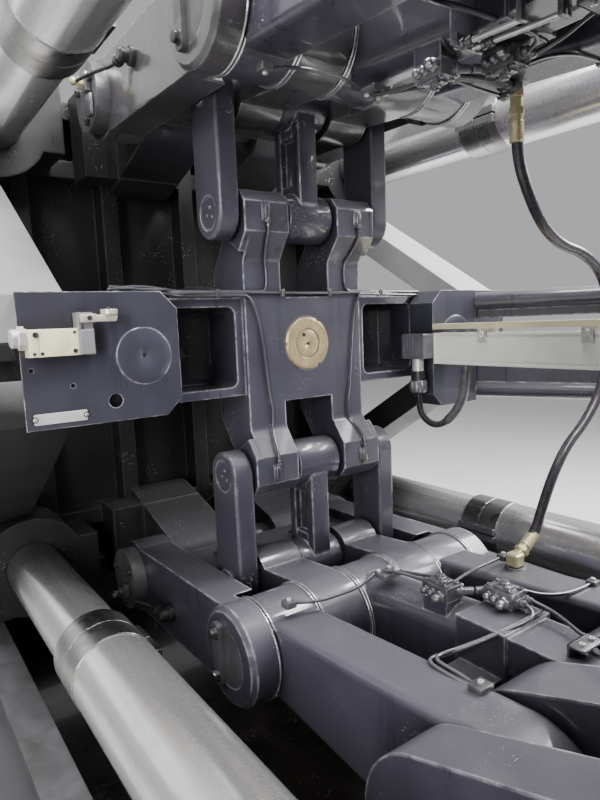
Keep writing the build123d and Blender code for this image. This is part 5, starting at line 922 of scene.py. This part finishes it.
# Pipes from the distributors along the links, with their clips; the lower level is the upper one's mirror image
LUBE_ROUTES = (
    ((212, -215, 424), (217, -200, 426), (228, -182, 427), (236, -160, 427), (236, -125, 428), (234, -90, 430),
     (232, -60, 426), (236, -34, 412), (262, -26, 404), (300, -22, 400), (335, -20, 398)),
    ((236, -14, 414), (265, -10, 408), (300, -8, 402), (330, -6, 396), (352, -4, 392)),
    ((378, -2, 398), (372, 20, 400), (352, 58, 410), (332, 110, 420), (322, 160, 424), (321, 207, 424)),
    ((456, 54, 398), (460, 78, 402), (474, 100, 412), (486, 140, 420), (491, 182, 424), (492, 223, 424)),
    ((502, 44, 398), (512, 52, 402), (520, 40, 404), (512, -10, 410), (500, -70, 418), (486, -112, 424),
     (480, -146, 424), (488, -158, 423), (505, -160, 423), (540, -162, 422), (566, -164, 424)),
    ((502, 28, 398), (515, 26, 402), (522, 8, 407), (510, -40, 414), (497, -92, 421), (484, -124, 427),
     (474, -152, 427), (484, -168, 425), (510, -171, 424), (566, -174, 424)),
    ((502, 44, 396), (530, 46, 400), (560, 38, 404), (590, 24, 406), (640, 10, 410)),
)
CLIP_BLOCKS = (
    ((238, -44, 418), (268, -6, 408), 2.0), ((560, -182, 426), (582, -156, 412), 2.2),
    ((206, -226, 430), (226, -206, 418), 2.0), ((313, 206, 430), (331, 226, 418), 2.0),
    ((484, 222, 430), (502, 240, 418), 2.0), ((600, -28, 418), (604, 20, 398), 1.2),
    ((600, -28, 402), (626, 20, 398), 1.2),
)
CLIP_SCREWS = (
    (244, -38, 408), (244, -12, 408), (262, -12, 408), (571, -169, 412), (216, -216, 418), (322, 216, 418),
    (493, 231, 418), (615, -16, 398), (615, 8, 398),
)
lube_routes = [[(x, y, z * level) for x, y, z in route] for level in (1, -1) for route in LUBE_ROUTES]
pipes("link_lube_pipes", lube_routes, LUBE_PIPE_RADIUS, PIPE_PAINT)
mesh = bmesh.new()
screws = bmesh.new()
for level in (1, -1):
    for (x0, y0, z0), (x1, y1, z1), edge in CLIP_BLOCKS:
        block(mesh, (x0, y0, z0 * level), (x1, y1, z1 * level), edge)
    for x, y, z in CLIP_SCREWS:
        cap_screw(screws, at(x, y, z * level), (0, 0, -level), 4.0, 3.6)
piece_from(mesh, "lube_pipe_clips", DARK_STEEL)
piece_from(screws, "lube_clip_screws", ZINC)

# Straight grease tubes below the upper middle beam, and the black elbow at the upper hose's hanger
pipes("upper_grease_tubes", [
    ((452, -66, 398), (490, -62, 398), (520, -58, 398), (548, -54, 399)),
    ((462, -42, 398), (500, -36, 398), (545, -29, 398), (586, -22, 399)),
], UPPER_TUBE_RADIUS, TUBE_STEEL)
mesh = bmesh.new()
coupling = ((6.5, 0), (7.5, 1), (7.5, 6), (5.2, 7), (5.2, 10), (7, 11), (7, 16), (5, 17))
for x, y in ((462, -65), (476, -40)):
    turned(mesh, (x, y, UNION_Z), (0.99, 0.12, 0), coupling)
block(mesh, (455, -74, 394), (462, -30, 412), 1.5)
block(mesh, (542, -62, 395), (550, -46, 420), 1.5)
block(mesh, (578, -32, 394), (586, -12, 420), 1.5)
piece_from(mesh, "upper_tube_clips", OILY_STEEL)
mesh = bmesh.new()
elbow = ((12, -10), (13, -2), (13, 14), (10, 16), (10, 24), (11.5, 25), (11.5, 34), (8, 36))
turned(mesh, (348, 206, 430), (0.06, -1, -0.08), elbow)
turned(mesh, (372, 14, 404), (0, 1, 0.2), ((9, -16), (9, 0), (12, 1), (12, 14), (8, 16)))
piece_from(mesh, "hose_elbow", BLACK_PLASTIC)
pipes("hose_feed_tube", [
    ((372, 22, 405), (371, 60, 411), (370, 100, 415), (362, 140, 420), (352, 180, 427)),
], FEED_TUBE_RADIUS, PIPE_BLACK)

# Screws in the guide bushes' flanges
BUSH_SCREW_REACH = 53
mesh = bmesh.new()
for y in (-ROD_Y, ROD_Y):
    for step in range(6):
        angle = math.radians(30 + 60 * step)
        place = at(-8, y + BUSH_SCREW_REACH * math.cos(angle), BUSH_SCREW_REACH * math.sin(angle))
        cap_screw(mesh, place, FRONT, 3.4, 3.0)
piece_from(mesh, "bush_screws", BLACK_SCREW)

# The linear transducer: end caps, lips and clamp bolts
mesh = bmesh.new()
block(mesh, (604, 299, -63), (611, 339, 7), 1.2)
block(mesh, (74, 299, -63), (80, 339, 7), 1.2)
for z in (-46, -10):
    cap_screw(mesh, at(611, 319, z), FRONT, 4.0, 2.0)
for z0, z1 in ((1.0, 6.6), (-62.6, -57.5)):
    block(mesh, (80, 298.6, z0), (604, 301, z1), 0.8)
piece_from(mesh, "transducer_end_caps", ALLOY_BRIGHT)
mesh = bmesh.new()
for x in CLAMP_STATIONS:
    block(mesh, (x - 11, TRANSDUCER_FACE - 5, -2), (x + 11, TRANSDUCER_FACE, 13), 1.0)
    hex_bolt(mesh, at(x, TRANSDUCER_FACE - 5, 5), NEAR, 10, 5)
piece_from(mesh, "transducer_clamp_bolts", ZINC)

# Ribbed ferrules on both ends of the hose
mesh = bmesh.new()
for place, heading in ((HOSE_ROUTE[0], HOSE_ROUTE[1]), (HOSE_ROUTE[-1], HOSE_ROUTE[-2])):
    start = Vector(place)
    matrix = scaled(start, Vector(heading) - start)
    profile = [(11.4, 0.0, "o"), (12.6, 1.0, "o")]
    for step in range(6):
        profile += [(12.6, 3.0 + 5 * step, "o"), (12.0, 4.2 + 5 * step, "o"), (12.0, 6.0 + 5 * step, "o")]
    profile += [(12.6, 34.0, "o"), (11.2, 36.0, "o")]
    lathe(mesh, matrix, profile)
piece_from(mesh, "hose_ferrules", BRASS)

# The conduit's gland: a silver neck, a black collar and a knurled ring
KNURLS = 12
mesh = bmesh.new()
turned(mesh, (GLAND_X, GLAND_Y, -50.5), DOWNWARD, ((13.2, 0), (13.2, 29), (12.0, 30)), 32)
piece_from(mesh, "conduit_gland_neck", ZINC)
mesh = bmesh.new()
turned(mesh, (GLAND_X, GLAND_Y, -78), DOWNWARD, ((12.5, 0), (15.2, 1), (15.2, 10), (16.4, 11), (16.4, 25)), 32)
piece_from(mesh, "conduit_gland_collar", BLACK_PLASTIC)
mesh = bmesh.new()
rings = []
for lift, reach, knurled in (
    (-100.0, 17.0, False), (-101.8, 20.4, True), (-124.0, 20.4, True), (-127.6, 17.0, False), (-127.8, 9.0, False)
):
    ring = []
    for step, angle in enumerate(turns(6 * KNURLS)):
        radius = reach * (0.90 if knurled and step % 6 < 3 else 1.0)
        ring.append(mesh.verts.new(at(GLAND_X + radius * math.cos(angle), GLAND_Y + radius * math.sin(angle), lift)))
    rings.append(ring)
join_rings(mesh, rings, capped=False)
piece_from(mesh, "conduit_gland_ring", OILY_STEEL)

# Floor, room and lights
mesh = bmesh.new()
bmesh.ops.create_grid(mesh, x_segments=8, y_segments=8, size=14.0)
floor_data = bpy.data.meshes.new("floor")
mesh.to_mesh(floor_data)
mesh.free()
floor = placed("floor", floor_data)
shade = Shade("floor_paint")
patches = shade.ramp(shade.noise(0.7, 6.0), 0.3, 0.7)
shade.set(Base_Color=shade.mix(patches, (0.60, 0.60, 0.58), (0.66, 0.66, 0.64)), Roughness=0.6)
floor_data.materials.append(shade.material)

world = bpy.data.worlds.new("room")
bpy.context.scene.world = world
world.use_nodes = True
background = world.node_tree.nodes["Background"]
background.inputs["Color"].default_value = (0.89, 0.90, 0.92, 1.0)
background.inputs["Strength"].default_value = 0.52


def area_light(name, place, target, size, power, colour=(1.0, 1.0, 1.0)):
    data = bpy.data.lights.new(name, "AREA")
    data.shape = "RECTANGLE"
    data.size, data.size_y = size
    data.energy = power
    data.color = colour
    placed(name, data).matrix_world = pose(Vector(place), Vector(place) - Vector(target))


area_light("ceiling_light_near", (0.3, -0.5, 4.1), (0.1, -0.1, 1.2), (3.8, 0.5), 290.0)
area_light("ceiling_light_far", (0.9, 1.2, 4.1), (0.2, 0.3, 1.2), (3.8, 0.5), 350.0)
area_light("front_light", (2.4, -3.0, 2.2), (-0.5, 0.0, 1.2), (0.7, 2.4), 150.0)
area_light("far_light", (0.4, 3.4, 3.4), (-0.3, 0.0, 1.2), (3.0, 1.6), 330.0, (0.96, 0.98, 1.0))
area_light("rear_light", (-3.8, -2.3, 2.9), (-1.0, 0.0, 1.2), (2.4, 2.4), 17.0)
area_light("strip_light", (3.1, 0.5, 1.9), (-0.4, 0.0, 1.2), (0.35, 2.2), 24.0)
